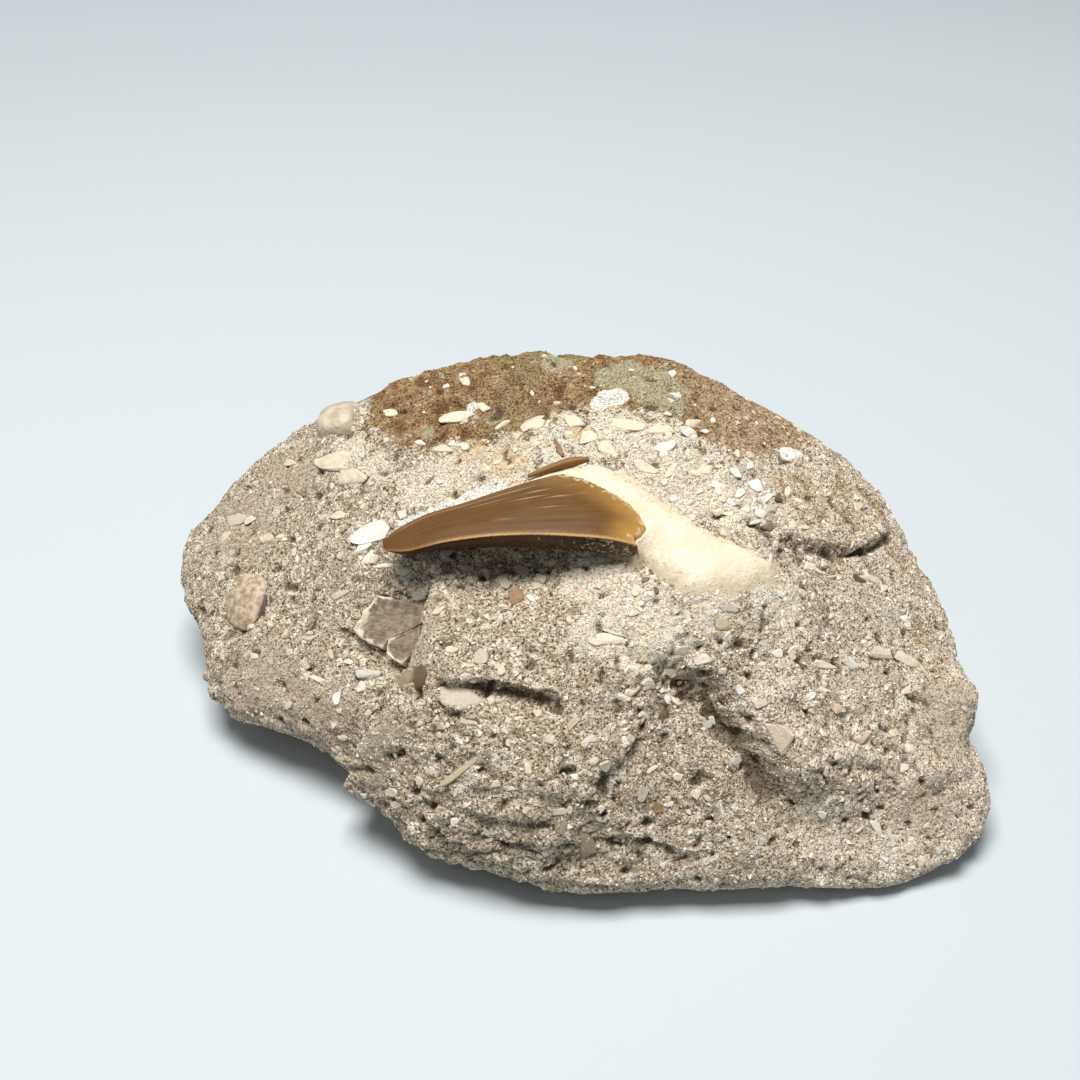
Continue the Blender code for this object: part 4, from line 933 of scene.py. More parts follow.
cell = np.arange(len(plan)).reshape(grid)
quads = np.stack([cell[:-1, :-1], cell[:-1, 1:], cell[1:, 1:], cell[1:, :-1]], axis=-1).reshape(-1, 4)
held = (within > -OVERLAP) & ((behind > UNDER_CROWN) | (plan[:, 1] < BEFORE_CROWN))
quads = quads[held[quads].all(axis=1)]
sides = np.stack([quads, np.roll(quads, -1, axis=1)], axis=-1).reshape(-1, 2)
count = len(plan)
rim = sides[~np.isin(sides @ [count, 1], sides @ [1, count])]  # sides that no other quad shares
wall = np.stack([rim[:, 1], rim[:, 0], rim[:, 0] + count, rim[:, 1] + count], axis=-1)
putty = np.vstack([top_rows.reshape(-1, 3), low_rows.reshape(-1, 3)])
putty_faces = np.vstack([quads, quads[:, ::-1] + count, wall])
used, again = np.unique(putty_faces, return_inverse=True)
putty, putty_faces = putty[used], again.reshape(putty_faces.shape)
edge_share = np.concatenate([1 - smoothstep(0, EDGE_WIDTH, within)] * 2)[used]
filler = add_piece("putty", putty, putty_faces, putty_material(), {"edge": edge_share})
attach(filler, "root")
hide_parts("filler")


# Two flat pieces of fish bone, brown and faintly fibrous, with a pale chipped rim. Each lies level with the
# stone's skin and is bedded in it.
PLATE_UPPER = (
    (-0.0301, -0.0109, 0.0225), (-0.0284, -0.0091, 0.0246), (-0.0267, -0.0079, 0.0262),
    (-0.0231, -0.0089, 0.0263), (-0.02, -0.0102, 0.0264), (-0.0197, -0.0124, 0.0253),
    (-0.0218, -0.013, 0.0242), (-0.0232, -0.0131, 0.0235), (-0.025, -0.0131, 0.0225),
    (-0.0257, -0.0139, 0.0217), (-0.0278, -0.0128, 0.0217), (-0.0293, -0.0118, 0.022),
)
PLATE_LOWER = (
    (-0.0247, -0.0136, 0.0227), (-0.0226, -0.0134, 0.0238), (-0.0202, -0.0132, 0.0251),
    (-0.0201, -0.0153, 0.0244), (-0.0212, -0.0168, 0.023), (-0.0226, -0.0176, 0.0219),
    (-0.024, -0.0163, 0.0216), (-0.025, -0.015, 0.0215),
)
PLATE_THICKNESS = 0.0016
PLATE_AROUND = 144
PLATE_LIFT = 0.0003  # how far it stands above the stone
# Its section, from the middle of its top round to the middle of its underside:
# (share of the way from the middle to the rim, lift in thicknesses)
PLATE_PROFILE = (
    (0.02, 0.26), (0.15, 0.26), (0.3, 0.26), (0.45, 0.27), (0.6, 0.28), (0.72, 0.29), (0.8, 0.31),
    (0.86, 0.38), (0.92, 0.42), (0.97, 0.34), (1, 0.1), (1, -0.3), (1, -0.65), (0.7, -0.65),
    (0.3, -0.65), (0.02, -0.65),
)
RIM_SPREAD, RIM_CHIPS = 1.04, 0.04  # the rim's distance over the outline's: its mean, and how much it varies
CHIP_SIZE, PLATE_PITS = 0.0009, 0.00012  # size of the rim's chips and of the face's pits, and the pits' depth
PALE_SIDE = 0.006  # length over which the pale rim fades from left to right
BONE, BONE_RIM = (tint(112, 96, 76), tint(164, 148, 126)), tint(238, 226, 202)


def bone_material():
    """Grey-brown bone with fine fibres along it and a paler, chipped rim."""
    made, place, shader = new_material("bone", Coat_Weight=0.08, Roughness=0.55)
    drawn_out = place.node("ShaderNodeVectorMath", {0: place, 1: (0.25, 1, 1)}, operation="MULTIPLY")
    fibres = drawn_out.noise(0.0003, 3, 0.6)
    cloud = place.noise(0.0014, 3, 0.6)
    body = (fibres * 0.5 + cloud * 0.5).ramp(0.35, 0.65).blend(*BONE)
    body = (place.attribute("rim") + (cloud - 0.5) * 1.2).ramp(0.45, 0.75).blend(body, BONE_RIM)
    drive(shader, Base_Color=body, Normal=place.bump(fibres * 0.7 + cloud * 0.5, 0.0001))
    return made


def plate(name, outline, node):
    """A flat chip: rings that shrink from its uneven rim to its middle, bevelled above and square below."""
    corners = np.array(outline)
    middle = corners.mean(axis=0)
    up = unit(np.linalg.svd(corners - middle)[2][2])
    up *= np.sign(up[2])
    turn = np.linspace(0, len(corners), PLATE_AROUND, endpoint=False)
    ring = np.vstack([corners, corners[:1]])
    rim = np.column_stack([np.interp(turn, np.arange(len(ring)), column) for column in ring.T])
    reach = RIM_SPREAD + RIM_CHIPS * lumpiness(rim, CHIP_SIZE, 40)
    rim = middle + up * PLATE_LIFT + (rim - middle) * reach[:, None]
    middle = middle + up * PLATE_LIFT
    shares, lift = np.array(PLATE_PROFILE).T
    rings = middle + (rim - middle) * shares[:, None, None] + up * (lift * PLATE_THICKNESS)[:, None, None]
    points = rings.reshape(-1, 3)
    level = np.repeat(lift > 0, PLATE_AROUND)
    points = points + up * (level * PLATE_PITS * lumpiness(points, CHIP_SIZE, 41))[:, None]
    rings = points.reshape(rings.shape)
    if np.dot(np.cross(corners[0] - middle, corners[1] - middle), up) < 0:
        rings = rings[:, ::-1]
    points, faces = closed_loft(rings)
    rimness = np.concatenate([np.repeat(shares, PLATE_AROUND), [0, 0]]) ** 3
    rimness *= np.clip(0.6 - (points[:, 0] - middle[0]) / PALE_SIDE, 0, 1)
    made = add_piece(name, points, faces, bone, {"rim": rimness})
    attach(made, "root")
    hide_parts(node)


bone = bone_material()
plate("bone_upper", PLATE_UPPER, "bone_plate_upper")
plate("bone_lower", PLATE_LOWER, "bone_plate_lower")


# A pebble of pale chert on the back edge and the dome of a broken shell on the left lobe. Both are rounded
# lumps, bedded in the stone.
NODULE_CELLS = 26
NODULE_REACH = 0.98  # its radii before it is dented, as a share of the given ones
DENT_SIZE, CHIPPING = 0.9, (0.25, 0.03)  # in radii: the dents' size, and the (size, depth) of the fine chips
CHERT = (tint(184, 170, 146), tint(214, 203, 182))
SHELL, SHELL_RIM = (tint(156, 134, 110), tint(206, 189, 165)), tint(78, 48, 34)


def nodule(middle, radii, lean, dents, squareness, seed):
    """A rounded lump: a ball with three radii, squared off by a power, its third axis along the lean."""
    corners, faces = cube_shell(NODULE_CELLS)
    ball = unit(np.tan(corners * np.pi / 4))
    up = unit(np.array(lean, dtype=float))
    sideways = unit(np.cross([0, 1, 0], up))
    turned = np.array([sideways, np.cross(up, sideways), up])
    reach = np.sum(np.abs(ball) ** squareness, axis=1) ** (-1 / squareness) * NODULE_REACH
    dented = np.maximum(dents * lumpiness(ball, DENT_SIZE, seed), 0)
    reach -= dented + CHIPPING[1] * np.abs(lumpiness(ball, CHIPPING[0], seed + 1))
    return np.array(middle) + ball * reach[:, None] * np.array(radii) @ turned, faces, ball


made, place, shader = new_material("chert", Roughness=0.55, Coat_Weight=0.05)
cloud = place.noise(0.002, 3, 0.6)
relief = place.bump(place.noise(0.0006, 3), 0.00012)
drive(shader, Base_Color=cloud.ramp(0.35, 0.65).blend(*CHERT), Normal=relief)
points, faces, _ = nodule(
    middle=(-0.0348, 0.0246, 0.0334), radii=(0.0037, 0.0042, 0.0030), lean=(-0.3, 0.2, 1),
    dents=0.16, squareness=3, seed=50,
)
pebble = add_piece("chert_pebble", points, faces, made, {})
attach(pebble, "root")
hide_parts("pebble")

made, place, shader = new_material("shell", Roughness=0.55)
cloud = place.noise(0.0009, 3, 0.6)
dark = (place.attribute("dark") + (cloud - 0.5) * 0.4).ramp(0.62, 0.74)
body = dark.blend(cloud.ramp(0.35, 0.65).blend(*SHELL), SHELL_RIM)
drive(shader, Base_Color=body, Normal=place.bump(cloud, 0.00015))
points, faces, ball = nodule(
    middle=(-0.0476, -0.0003, 0.0184), radii=(0.0040, 0.0048, 0.0011), lean=(-0.4, -0.5, 1),
    dents=0.22, squareness=2, seed=52,
)
right_rim = np.clip(0.85 * ball[:, 0] - 0.5 * ball[:, 1], 0, 1)
shell = add_piece("shell_dome", points, faces, made, {"dark": right_rim})
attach(shell, "root")
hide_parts("shell_fragment")


# Broken shell, bone and phosphate pebbles in the sand. Each was laid down with it, lies along the stone's
# skin and stands out of it by a fraction of its thickness. The larger ones have set places, and a few hundred
# small ones lie anywhere. Each set one is given as (column, row, width, height, turn in degrees, tone): where
# the camera sees it, in pixels of its square frame.
FRAME = 1080  # the frame's side, in pixels
CAMERA_PLACE = (-0.0035, -0.176, 0.178)
CAMERA_TILT = 50  # degrees up from straight down
CAMERA_VIEW = 38  # degrees across the frame
CLASTS = (
    (338, 455, 46, 23, 5, "cream"), (351, 478, 26, 20, 50, "cream"), (292, 463, 13, 7, 15, "pale"),
    (238, 519, 20, 12, 30, "grey"), (250, 520, 11, 6, 35, "pale"), (224, 540, 15, 9, 60, "pale"),
    (265, 541, 14, 8, 25, "pale"), (402, 516, 9, 8, 0, "white"), (340, 515, 18, 7, 10, "pale"),
    (309, 638, 10, 8, 0, "pale"), (307, 668, 8, 11, 100, "tan"), (317, 679, 12, 6, -40, "white"),
    (255, 655, 14, 7, 0, "pale"), (347, 662, 10, 5, 0, "white"), (406, 571, 14, 9, 0, "pale"),
    (416, 597, 13, 9, -10, "grey"), (437, 610, 12, 7, 10, "pale"), (505, 582, 11, 11, 0, "grey"),
    (533, 584, 11, 7, 0, "pale"), (533, 598, 10, 6, -40, "white"), (523, 570, 13, 10, -20, "grey"),
    (540, 578, 10, 9, 0, "grey"), (452, 650, 12, 6, 0, "pale"), (480, 657, 15, 12, 0, "grey"),
    (466, 666, 17, 8, -10, "pale"), (502, 672, 8, 9, 0, "pale"), (595, 644, 18, 9, -15, "cream"),
    (613, 633, 20, 4, -15, "white"), (648, 683, 13, 13, 0, "cream"), (670, 672, 11, 7, 0, "pale"),
    (702, 660, 15, 10, 0, "cream"), (680, 650, 16, 10, 20, "pale"), (728, 608, 20, 14, 0, "grey"),
    (727, 626, 18, 14, 10, "tan"), (723, 670, 9, 8, 0, "pale"), (739, 690, 10, 11, 0, "snow"),
    (780, 651, 13, 10, 0, "white"), (782, 666, 9, 6, 0, "pale"), (758, 705, 13, 8, 10, "pale"),
    (707, 725, 14, 9, 0, "cool"), (738, 762, 9, 9, 0, "cool"), (821, 667, 27, 9, -5, "cream"),
    (850, 663, 14, 12, 0, "white"), (862, 666, 9, 8, 0, "cream"), (885, 653, 24, 14, -15, "cream"),
    (906, 662, 20, 11, -30, "cream"), (907, 690, 12, 9, 0, "pink"), (823, 691, 9, 7, 0, "white"),
    (857, 737, 17, 16, 0, "pink"), (876, 727, 10, 8, 0, "white"), (908, 748, 16, 13, 0, "cream"),
    (903, 770, 9, 11, 0, "white"), (891, 774, 9, 5, -30, "pale"), (645, 793, 13, 13, 20, "pale"),
    (659, 810, 13, 9, 120, "brown"), (722, 813, 17, 4, 105, "white"), (830, 800, 9, 5, 80, "white"),
    (838, 811, 9, 6, -30, "white"), (877, 826, 16, 7, 120, "white"), (907, 848, 10, 9, 20, "cream"),
    (885, 861, 13, 8, 0, "white"), (802, 733, 9, 6, 100, "pale"), (459, 742, 9, 6, 0, "white"),
    (548, 740, 8, 9, 0, "pale"), (535, 713, 9, 7, 0, "pale"), (591, 740, 14, 12, -30, "cool"),
    (573, 724, 13, 9, 70, "tan"), (607, 766, 12, 10, 0, "pale"), (391, 793, 11, 8, 0, "white"),
    (397, 806, 13, 8, 0, "pale"), (526, 810, 11, 9, -20, "pale"), (560, 814, 15, 6, 20, "pale"),
    (564, 830, 17, 12, 80, "taupe"), (587, 843, 28, 16, 110, "taupe"), (470, 722, 26, 10, -15, "pink"),
    (513, 597, 15, 15, 0, "orange"), (661, 714, 11, 9, 60, "umber"), (374, 537, 36, 20, 25, "snow"),
    (364, 545, 16, 8, 30, "snow"), (371, 558, 20, 10, 40, "white"), (384, 566, 18, 6, 15, "white"),
    (340, 594, 14, 7, 20, "pink"), (446, 553, 14, 8, 10, "cool"), (460, 417, 32, 12, 5, "cream"),
    (483, 405, 16, 9, 0, "cream"), (445, 385, 9, 6, 0, "white"), (464, 381, 10, 12, 70, "cream"),
    (453, 443, 12, 5, 0, "white"), (389, 412, 12, 6, 5, "cream"), (420, 443, 14, 5, 10, "white"),
    (503, 425, 14, 5, 25, "cream"), (530, 424, 24, 8, 30, "pink"), (515, 436, 12, 6, 40, "pink"),
    (592, 386, 12, 6, -15, "white"), (791, 457, 26, 14, -10, "snow"), (668, 413, 9, 5, 0, "white"),
    (664, 455, 14, 8, 20, "white"), (646, 525, 7, 10, 100, "grey"), (652, 570, 7, 6, 0, "umber"),
    (640, 564, 6, 8, 40, "umber"), (648, 579, 10, 6, 50, "umber"), (655, 590, 6, 6, 0, "umber"),
    (734, 472, 18, 9, -20, "snow"), (750, 467, 9, 10, 100, "snow"), (754, 486, 17, 12, -30, "snow"),
    (770, 483, 18, 4, -35, "grey"), (731, 502, 16, 10, 0, "snow"), (765, 500, 16, 12, 10, "snow"),
    (741, 494, 12, 8, 20, "white"), (745, 510, 10, 7, 0, "white"), (760, 514, 12, 8, 0, "snow"),
    (772, 509, 10, 8, -20, "grey"), (755, 521, 9, 6, 0, "white"), (787, 493, 6, 9, 0, "white"),
    (786, 517, 5, 14, 20, "grey"), (700, 490, 11, 5, 20, "white"), (720, 487, 14, 5, -10, "white"),
    (727, 512, 12, 5, 0, "cream"), (800, 502, 9, 4, -20, "white"), (779, 500, 10, 9, -40, "umber"),
    (766, 529, 13, 5, -20, "umber"), (720, 532, 14, 8, -10, "tan"), (706, 433, 9, 5, -20, "snow"),
    (672, 371, 8, 7, 0, "snow"), (881, 528, 6, 9, 0, "white"), (860, 507, 9, 9, 0, "pink"),
    (812, 567, 20, 5, -30, "white"), (806, 528, 9, 4, 0, "white"), (693, 471, 14, 8, 0, "cream"),
    (830, 577, 12, 6, 10, "cream"), (870, 580, 26, 7, -25, "cream"), (760, 556, 9, 4, 0, "pale"),
    (636, 425, 22, 16, -30, "cream"), (578, 420, 24, 14, 0, "cream"), (660, 430, 26, 10, 0, "cream"),
    (690, 425, 20, 8, 0, "cream"), (568, 436, 16, 8, 20, "cream"), (778, 741, 34, 26, -40, "pink"),
    (458, 701, 46, 20, -8, "grey"), (463, 769, 50, 7, 36, "tan"), (405, 680, 34, 20, 55, "taupe"),
    (604, 640, 38, 14, -5, "cream"), (372, 673, 28, 14, -8, "cool"), (556, 443, 20, 6, -60, "brown"),
    (626, 426, 30, 14, 10, "cream"), (609, 450, 24, 12, -25, "cream"), (660, 449, 26, 12, 20, "white"),
    (689, 432, 20, 10, -20, "white"), (645, 467, 22, 10, -15, "cream"), (590, 437, 22, 12, 15, "cream"),
    (537, 426, 24, 10, 15, "cream"), (446, 449, 22, 9, -10, "cream"), (706, 468, 14, 8, 10, "cream"),
    (672, 470, 18, 9, 30, "cream"), (716, 512, 12, 9, -30, "cream"),
)
CLAST_TONES = {
    "cream": tint(242, 230, 206), "pale": tint(230, 218, 196), "white": tint(250, 244, 230),
    "snow": tint(255, 252, 244), "grey": tint(206, 196, 180), "tan": tint(206, 188, 158),
    "cool": tint(208, 208, 202), "pink": tint(234, 212, 192), "brown": tint(140, 108, 72),
    "umber": tint(84, 62, 42), "orange": tint(150, 112, 74), "taupe": tint(154, 138, 116),
}
# Dust and dirt on the chips; the foot colour is packed dirt and painted shade where each chip meets the
# stone.
CLAST_DUST, CLAST_DIRT, CLAST_FOOT_DIRT_AND_SHADE = tint(188, 168, 138), tint(120, 96, 66), tint(96, 74, 48)
CLAST_SPREAD = 1.3  # a chip's full size over the size that shows: its corners are cut, its rim buried
CLAST_DEPTH = (0.0005, 0.25)  # a chip's thickness: the least, and the share of its width that is added
CLAST_STAND = (0.00017, 0.05, 0.0003)  # its stand: the least, the share of its width that is added, the most
CLAST_SIDES, CUT_DEPTHS = 9, (0.50, 0.95)  # planes that cut each chip, and their distances from its middle
CORNER_REACH = 1.35  # the furthest that a corner reaches
LEVELLING = 1.7  # how much its top and bottom are squashed flat
CLAST_TILT = 0.05  # how far each leans off the skin's normal, at random
CLAST_CELLS, CLAST_SHARPNESS, TONE_SPREAD = 7, (10, 34), (0.92, 1.04)
SLANT_LIMIT = 2.0  # a chip on ground that slants away from the camera is this many times longer at most
DEPTH_COST = 1000  # square pixels that a place a metre further off counts as worse
SMALL_CLASTS = 640
SMALL_TONES = ("white", "cream", "cream", "pale", "pale", "pale", "snow", "pink")
SMALL_LENGTHS, SMALL_RARITY = (0.0007, 0.0017), 2.4  # the least, the most that is added, how rare that is
SMALL_CELLS, SMALL_SHARPNESS, SMALL_WIDTHS = 3, (10.0, 24.0), (0.5, 0.95)
SMALL_DEPTH, SMALL_STAND = 0.8, (0.00016, 0.08)


def shards(cells, random, sharpness, lengths, widths, thicknesses):
    """A chip for each length: a ball cut by random planes and levelled, rounder for a lower sharpness."""
    corners, faces = cube_shell(cells)
    ball = unit(np.tan(corners * np.pi / 4))
    count = len(lengths)
    normals = random.normal(size=(count, 3, CLAST_SIDES))
    normals = np.concatenate([normals, np.repeat([np.eye(3)[:, 2:]], count, axis=0)], axis=2)
    normals /= np.linalg.norm(normals, axis=1, keepdims=True)
    depth = random.uniform(*CUT_DEPTHS, (count, 1, CLAST_SIDES + 1))
    power = sharpness[:, None, None]
    reach = np.sum(np.maximum(ball @ normals / depth, 0.001) ** power, axis=2) ** (-1 / power[..., 0])
    shape = ball * np.minimum(reach, CORNER_REACH)[..., None]
    shape /= np.abs(shape).max(axis=1, keepdims=True)
    shape[..., 2] = np.clip(LEVELLING * shape[..., 2], -1, 1)
    return shape * np.stack([lengths, widths, thicknesses], axis=1)[:, None] / 2, faces


def seen(points):
    """Where the camera sees each point in its frame, and how far ahead it is: (column, row, distance)."""
    arm = points - CAMERA_PLACE
    ahead = arm @ camera_axes[2]
    away = FRAME / 2 / np.tan(np.radians(CAMERA_VIEW) / 2) / ahead
    return FRAME / 2 + away * (arm @ camera_axes[0]), FRAME / 2 - away * (arm @ camera_axes[1]), ahead


def slid(across, sight, normals):
    """A direction across the line of sight, slid along that line into the skin, with a greatest length."""
    flat = across - sight * (np.sum(across * normals, axis=1) / np.sum(sight * normals, axis=1))[:, None]
    return flat * np.minimum(1, SLANT_LIMIT / np.linalg.norm(flat, axis=1))[:, None]


def bedded(name, places, first, second, shape, faces, stand, tones):
    """Lays the chips at the stone's vertices, each along two axes in the skin and out of it by its stand."""
    leaning = unit(smoother_out[places] + random.normal(0, CLAST_TILT, (len(places), 3)))
    level = stand - shape[..., 2].max(axis=1)
    axes = np.stack([first, second, leaning], axis=1)
    points = smoother[places][:, None] + shape @ axes + (leaning * level[:, None])[:, None]
    index = faces + np.arange(len(places))[:, None, None] * shape.shape[1]
    own = {
        "own": np.repeat(tones, shape.shape[1], axis=0),
        "height": ((shape[..., 2] + level[:, None]) / stand[:, None]).ravel(),
    }
    made = add_piece(name, points.reshape(-1, 3), index.reshape(-1, 4), clast_finish, own, smooth=False)
    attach(made, "root")


def clast_material():
    """Each chip's own colour, mottled and dusted, darker round its foot: packed grime and painted shade."""
    made, place, shader = new_material("clasts", Roughness=0.62)
    cloud = place.noise(0.0010, 4, 0.65)
    fine = place.noise(0.00030, 3, 0.7)
    body = cloud.ramp(0.34, 0.70, 0.0, 0.40).blend(place.attribute("own", 0), CLAST_DUST)
    body = fine.ramp(0.28, 0.42, 0.45, 0).blend(body, CLAST_DIRT)
    # Darker towards each chip's foot: dirt packed round it, and painted shade where it meets the stone.
    foot = (place.attribute("height") + (fine - 0.5) * 0.7).ramp(-0.25, 0.50, 0.92, 0)
    body = foot.blend(body, CLAST_FOOT_DIRT_AND_SHADE)
    drive(shader, Base_Color=body, Normal=place.bump(cloud * 0.6 + fine * 0.5, 0.00022))
    return made


smoother_out = face_out(smoother, stone_faces)
clast_finish = clast_material()
random = np.random.default_rng(81)
lean = np.radians(CAMERA_TILT)
camera_axes = np.array([[1, 0, 0], [0, np.cos(lean), np.sin(lean)], [0, np.sin(lean), -np.cos(lean)]])
column, row, ahead = seen(stone)
picks = np.array([clast[:5] for clast in CLASTS], dtype=float)
miss = (column - picks[:, :1]) ** 2 + (row - picks[:, 1:2]) ** 2 + DEPTH_COST * ahead
hidden = np.sum(stone_out * (stone - CAMERA_PLACE), axis=1) > 0
places = np.where(hidden, np.inf, miss).argmin(axis=1)
pixel = 2 * np.tan(np.radians(CAMERA_VIEW) / 2) * ahead[places] / FRAME
turn = np.radians(picks[:, 4:])
sight, normals = unit(stone[places] - CAMERA_PLACE), smoother_out[places]
first = slid(np.cos(turn) * camera_axes[0] + np.sin(turn) * camera_axes[1], sight, normals)
second = slid(np.cos(turn) * camera_axes[1] - np.sin(turn) * camera_axes[0], sight, normals)
lengths, widths = CLAST_SPREAD * pixel * picks[:, 2], CLAST_SPREAD * pixel * picks[:, 3]
thicknesses = CLAST_DEPTH[0] + CLAST_DEPTH[1] * widths
sharpness = random.uniform(*CLAST_SHARPNESS, len(CLASTS))
shape, faces = shards(CLAST_CELLS, random, sharpness, lengths, widths, thicknesses)
tones = np.array([CLAST_TONES[clast[5]] for clast in CLASTS])
tones = tones * random.uniform(*TONE_SPREAD, (len(CLASTS), 1))
stand = np.minimum(CLAST_STAND[0] + CLAST_STAND[1] * widths, CLAST_STAND[2])
bedded("clasts", places, first, second, shape, faces, stand, tones)

# The small ones lie clear of the foot and the putty, fewer where it faces back or down, most in the chalk.
weight = np.clip((stone[:, 2] - 0.002) / 0.003, 0, 1) * (under_putty < 0.1)
weight = weight * np.clip(0.6 - stone_out[:, 1] + stone_out[:, 2], 0.15, 1)
weight *= 0.4 + 1.2 * np.clip(lumpiness(stone, 0.014, 82) + 0.5, 0, 1) + 1.6 * np.clip(marks["chalk"], 0, 1)
places = random.choice(len(stone), SMALL_CLASTS, replace=False, p=weight / weight.sum())
lengths = SMALL_LENGTHS[0] + SMALL_LENGTHS[1] * random.random(SMALL_CLASTS) ** SMALL_RARITY
widths = lengths * random.uniform(*SMALL_WIDTHS, SMALL_CLASTS)
sharpness = random.choice(SMALL_SHARPNESS, SMALL_CLASTS)
shape, faces = shards(SMALL_CELLS, random, sharpness, lengths, widths, SMALL_DEPTH * widths)
tones = np.array([CLAST_TONES[tone] for tone in random.choice(SMALL_TONES, SMALL_CLASTS)])
first = unit(np.cross(random.normal(size=(SMALL_CLASTS, 3)), smoother_out[places]))
second = np.cross(smoother_out[places], first)
stand = SMALL_STAND[0] + SMALL_STAND[1] * widths
bedded("small_clasts", places, first, second, shape, faces, stand, tones)


# Loose grains: the sand that the stone is made of, standing about half out of its skin, with coarser broken
# chips among it. Each grain is a small eight-sided lump, squashed and turned at random.
GRAIN_PIECES = 4
GRAINS_EACH = 24000
GRAIN_RADII, GRAIN_SUNK, GRAIN_TONES = (0.0001, 0.00028), 0.30, (0.52, 0.32)
CHIPS = 2600
CHIP_RADII, CHIP_SUNK, CHIP_TONES = (0.00035, 0.0007), 0.45, (0.75, 0.20)
COARSE_RARITY = 2.2  # how rare the largest of each kind are
SQUASH, UNEVEN = (0.6, 1.2), (0.8, 1.2)  # how much each is drawn out, as a whole and at each corner
GRAIN_FLOOR = 0.0001  # no grain reaches lower than this
OCTAHEDRON = np.array([[1, 0, 0], [-1, 0, 0], [0, 1, 0], [0, -1, 0], [0, 0, 1], [0, 0, -1]], dtype=float)
OCTAHEDRON_FACES = np.array([
    [0, 2, 4], [2, 1, 4], [1, 3, 4], [3, 0, 4], [2, 0, 5], [1, 2, 5], [3, 1, 5], [0, 3, 5],
])


def scatter(count, random, weight):
    """Random places on the stone, spread by area times the weight of each face: (places, normals, marks)."""
    a, b, d = (stone[stone_faces[:, k]] for k in (0, 1, 3))
    area = np.linalg.norm(np.cross(b - a, d - a), axis=1) * weight[stone_faces].mean(axis=1)
    face = random.choice(len(stone_faces), count, p=area / area.sum())
    u, v = random.random((2, count, 1))
    shares = np.stack([(1 - u) * (1 - v), u * (1 - v), u * v, (1 - u) * v], axis=1)
    own = stone_faces[face]
    mixed = {key: np.sum(values[own] * shares[..., 0], axis=1) for key, values in marks.items()}
    return np.sum(stone[own] * shares, axis=1), unit(np.sum(stone_out[own] * shares, axis=1)), mixed


def turned_at_random(shape, count, random):
    """count copies of a small shape, each turned at random: an array of copies by points by 3."""
    frames = np.linalg.qr(random.normal(size=(count, 3, 3)))[0]
    frames[:, 0] *= np.linalg.det(frames)[:, None]
    return shape @ frames


def grain_material():
    """The stone's own colours, with the grime and painted shade of its hollows, and one tone for each grain.
    """
    made, place, shader = new_material("grains", Roughness=0.9)
    colour = sand_colour(place, place.attribute("tone"))
    drive(shader, Base_Color=colour, Normal=place.bump(place.noise(0.00012), 0.00003))
    return made


def strew(name, count, seed, radii, sunk, tones):
    """Scatters grains over the stone: radii is the least and the most, sunk the share of a radius buried."""
    random = np.random.default_rng(seed)
    # Fewer lie on the putty, at the foot, and on ground that faces back or down.
    weight = np.clip((stone[:, 2] - 0.0015) / 0.002, 0, 1) * (1 - 0.97 * np.clip(under_putty * 1.5, 0, 1))
    weight *= 0.25 + 0.75 * np.clip(0.6 - stone_out[:, 1] + stone_out[:, 2], 0, 1)
    places, normals, own = scatter(count, random, weight)
    size = radii[0] + (radii[1] - radii[0]) * random.random(count) ** COARSE_RARITY
    squash = random.uniform(*SQUASH, (count, 1, 3))
    local = turned_at_random(OCTAHEDRON * random.uniform(*UNEVEN, (count, 6, 3)) * squash, count, random)
    centres = places - normals * (size * sunk)[:, None]
    points = centres[:, None] + local * size[:, None, None]
    points[..., 2] = np.maximum(points[..., 2], GRAIN_FLOOR)
    index = OCTAHEDRON_FACES + np.arange(count)[:, None, None] * len(OCTAHEDRON)
    own["tone"] = np.clip(random.normal(*tones, count), 0, 1)
    # The grains take a weaker share of the hollows' dirt and painted shade.
    own["hollow"] = own["hollow"] * 0.6
    repeated = {key: np.repeat(values, len(OCTAHEDRON)) for key, values in own.items()}
    made = add_piece(name, points.reshape(-1, 3), index.reshape(-1, 3), grain_finish, repeated, smooth=False)
    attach(made, "root")


grain_finish = grain_material()
for part in range(GRAIN_PIECES):
    strew(f"sand_grains_{part + 1}", GRAINS_EACH, 60 + part, GRAIN_RADII, GRAIN_SUNK, GRAIN_TONES)
strew("sand_chips", CHIPS, 70, CHIP_RADII, CHIP_SUNK, CHIP_TONES)


# The table: a pale board that curves up behind the stone to a wall, its colour painted darker towards the
# wall: painted shade.
BOARD_NEAR, BOARD_FAR_SHADE = tint(202, 211, 216), tint(176, 186, 193)
BOARD_HALF, BOARD_FRONT, BOARD_TOP = 1.6, -1.2, 2.0  # half its width, its front edge, the wall's height
BEND_START, BEND_RADIUS, BEND_ROWS = 0.7, 0.5, 24
PAINTED_DIMMING = (0.02, 0.60)  # y where its painted shade begins, and is darkest

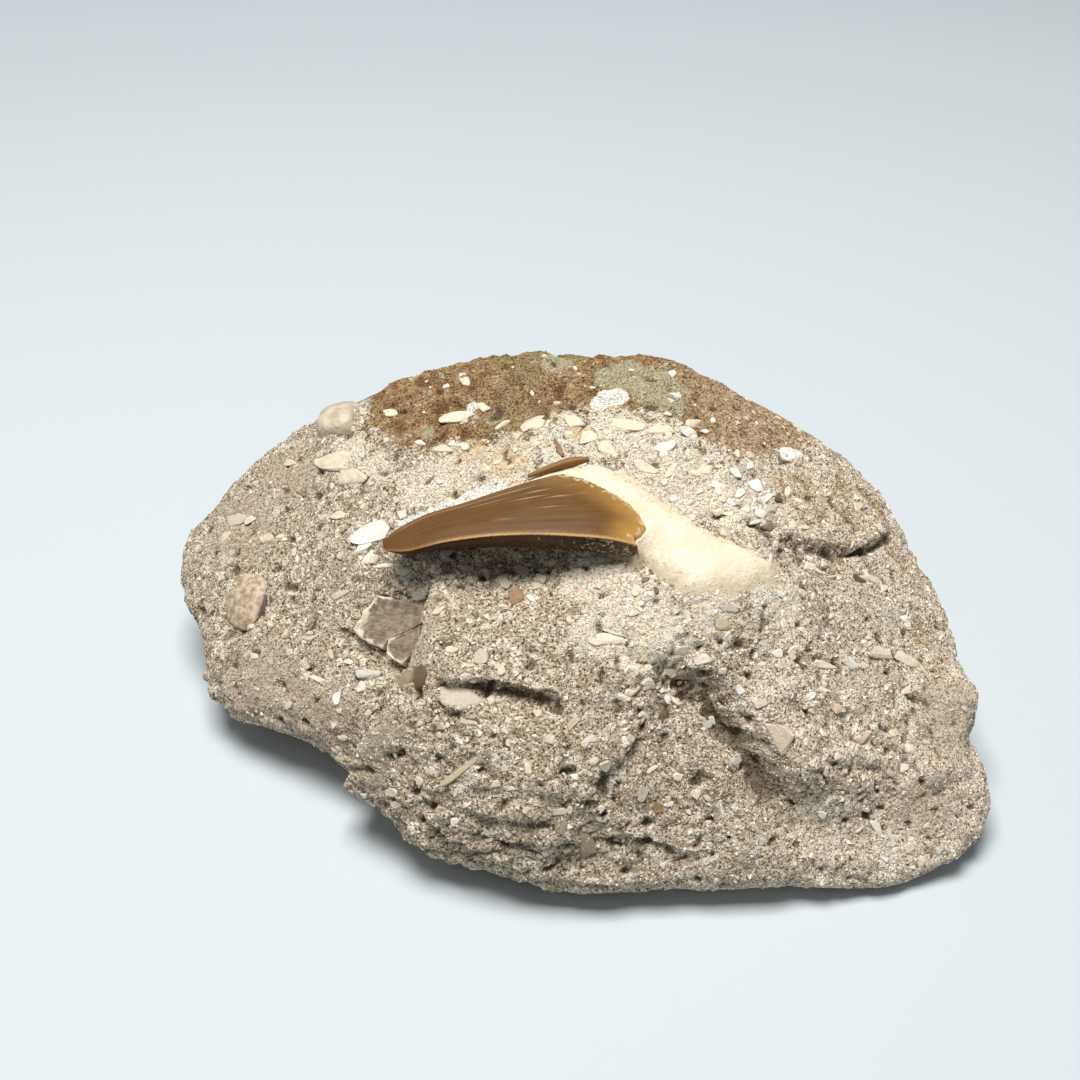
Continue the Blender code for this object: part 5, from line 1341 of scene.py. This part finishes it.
bend = np.linspace(0, np.pi / 2, BEND_ROWS)
run_y = np.concatenate([[BOARD_FRONT], BEND_START + BEND_RADIUS * np.sin(bend), [BEND_START + BEND_RADIUS]])
run_z = np.concatenate([[0], BEND_RADIUS * (1 - np.cos(bend)), [BOARD_TOP]])
grid_x, grid_y = np.meshgrid(np.linspace(-BOARD_HALF, BOARD_HALF, 3), run_y)
board = np.stack([grid_x, grid_y, np.repeat(run_z[:, None], 3, axis=1)], axis=-1).reshape(-1, 3)
cell = (np.arange(len(run_y) - 1)[:, None] * 3 + np.arange(2)).ravel()
made, place, shader = new_material("board", Roughness=0.7)
# Painted shade: the board's colour darkens towards the wall, as if less light reached it.
back = place.node("ShaderNodeSeparateXYZ", {0: place}, 1).ramp(*PAINTED_DIMMING)
drive(shader, Base_Color=back.blend(BOARD_NEAR, BOARD_FAR_SHADE))
board_faces = np.stack([cell, cell + 1, cell + 4, cell + 3], axis=1)
floor = add_piece("board", board, board_faces, made, {}, clipped=False)


# The light: one broad soft lamp overhead, a little to the left, and a dim even sky.
SKY_COLOUR, SKY_STRENGTH = tint(236, 243, 250), 0.18
LAMP_SIZE, LAMP_WATTS, LAMP_COLOUR = (0.42, 0.36), 8.4, (1.0, 0.975, 0.94)
LAMP_PLACE, LAMP_TURN = (-0.08, 0.02, 0.80), (-1.5, -5.5, 0)

world = bpy.data.worlds.new("soft_room")
world.use_nodes = True
sky = world.node_tree.nodes["Background"]
sky.inputs["Color"].default_value = SKY_COLOUR
sky.inputs["Strength"].default_value = SKY_STRENGTH
bpy.context.scene.world = world

lamp = bpy.data.lights.new("soft_lamp", "AREA")
lamp.shape = "RECTANGLE"
lamp.size, lamp.size_y = LAMP_SIZE
lamp.energy = LAMP_WATTS
lamp.color = LAMP_COLOUR
lamp_object = bpy.data.objects.new("soft_lamp", lamp)
lamp_object.location = LAMP_PLACE
lamp_object.rotation_euler = np.radians(LAMP_TURN)
bpy.context.scene.collection.objects.link(lamp_object)


# The camera: it looks along +Y and down at the stone, from where the larger chips' places were given.
SENSOR_WIDTH = 36

camera = bpy.data.cameras.new("camera")
camera.sensor_width = SENSOR_WIDTH
camera.lens = camera.sensor_width / 2 / np.tan(np.radians(CAMERA_VIEW) / 2)
camera.clip_start = 0.01
camera_object = bpy.data.objects.new("camera", camera)
camera_object.location = CAMERA_PLACE
camera_object.rotation_euler = (lean, 0, 0)
bpy.context.scene.collection.objects.link(camera_object)
bpy.context.scene.camera = camera_object
bpy.context.scene.view_settings.view_transform = "Standard"
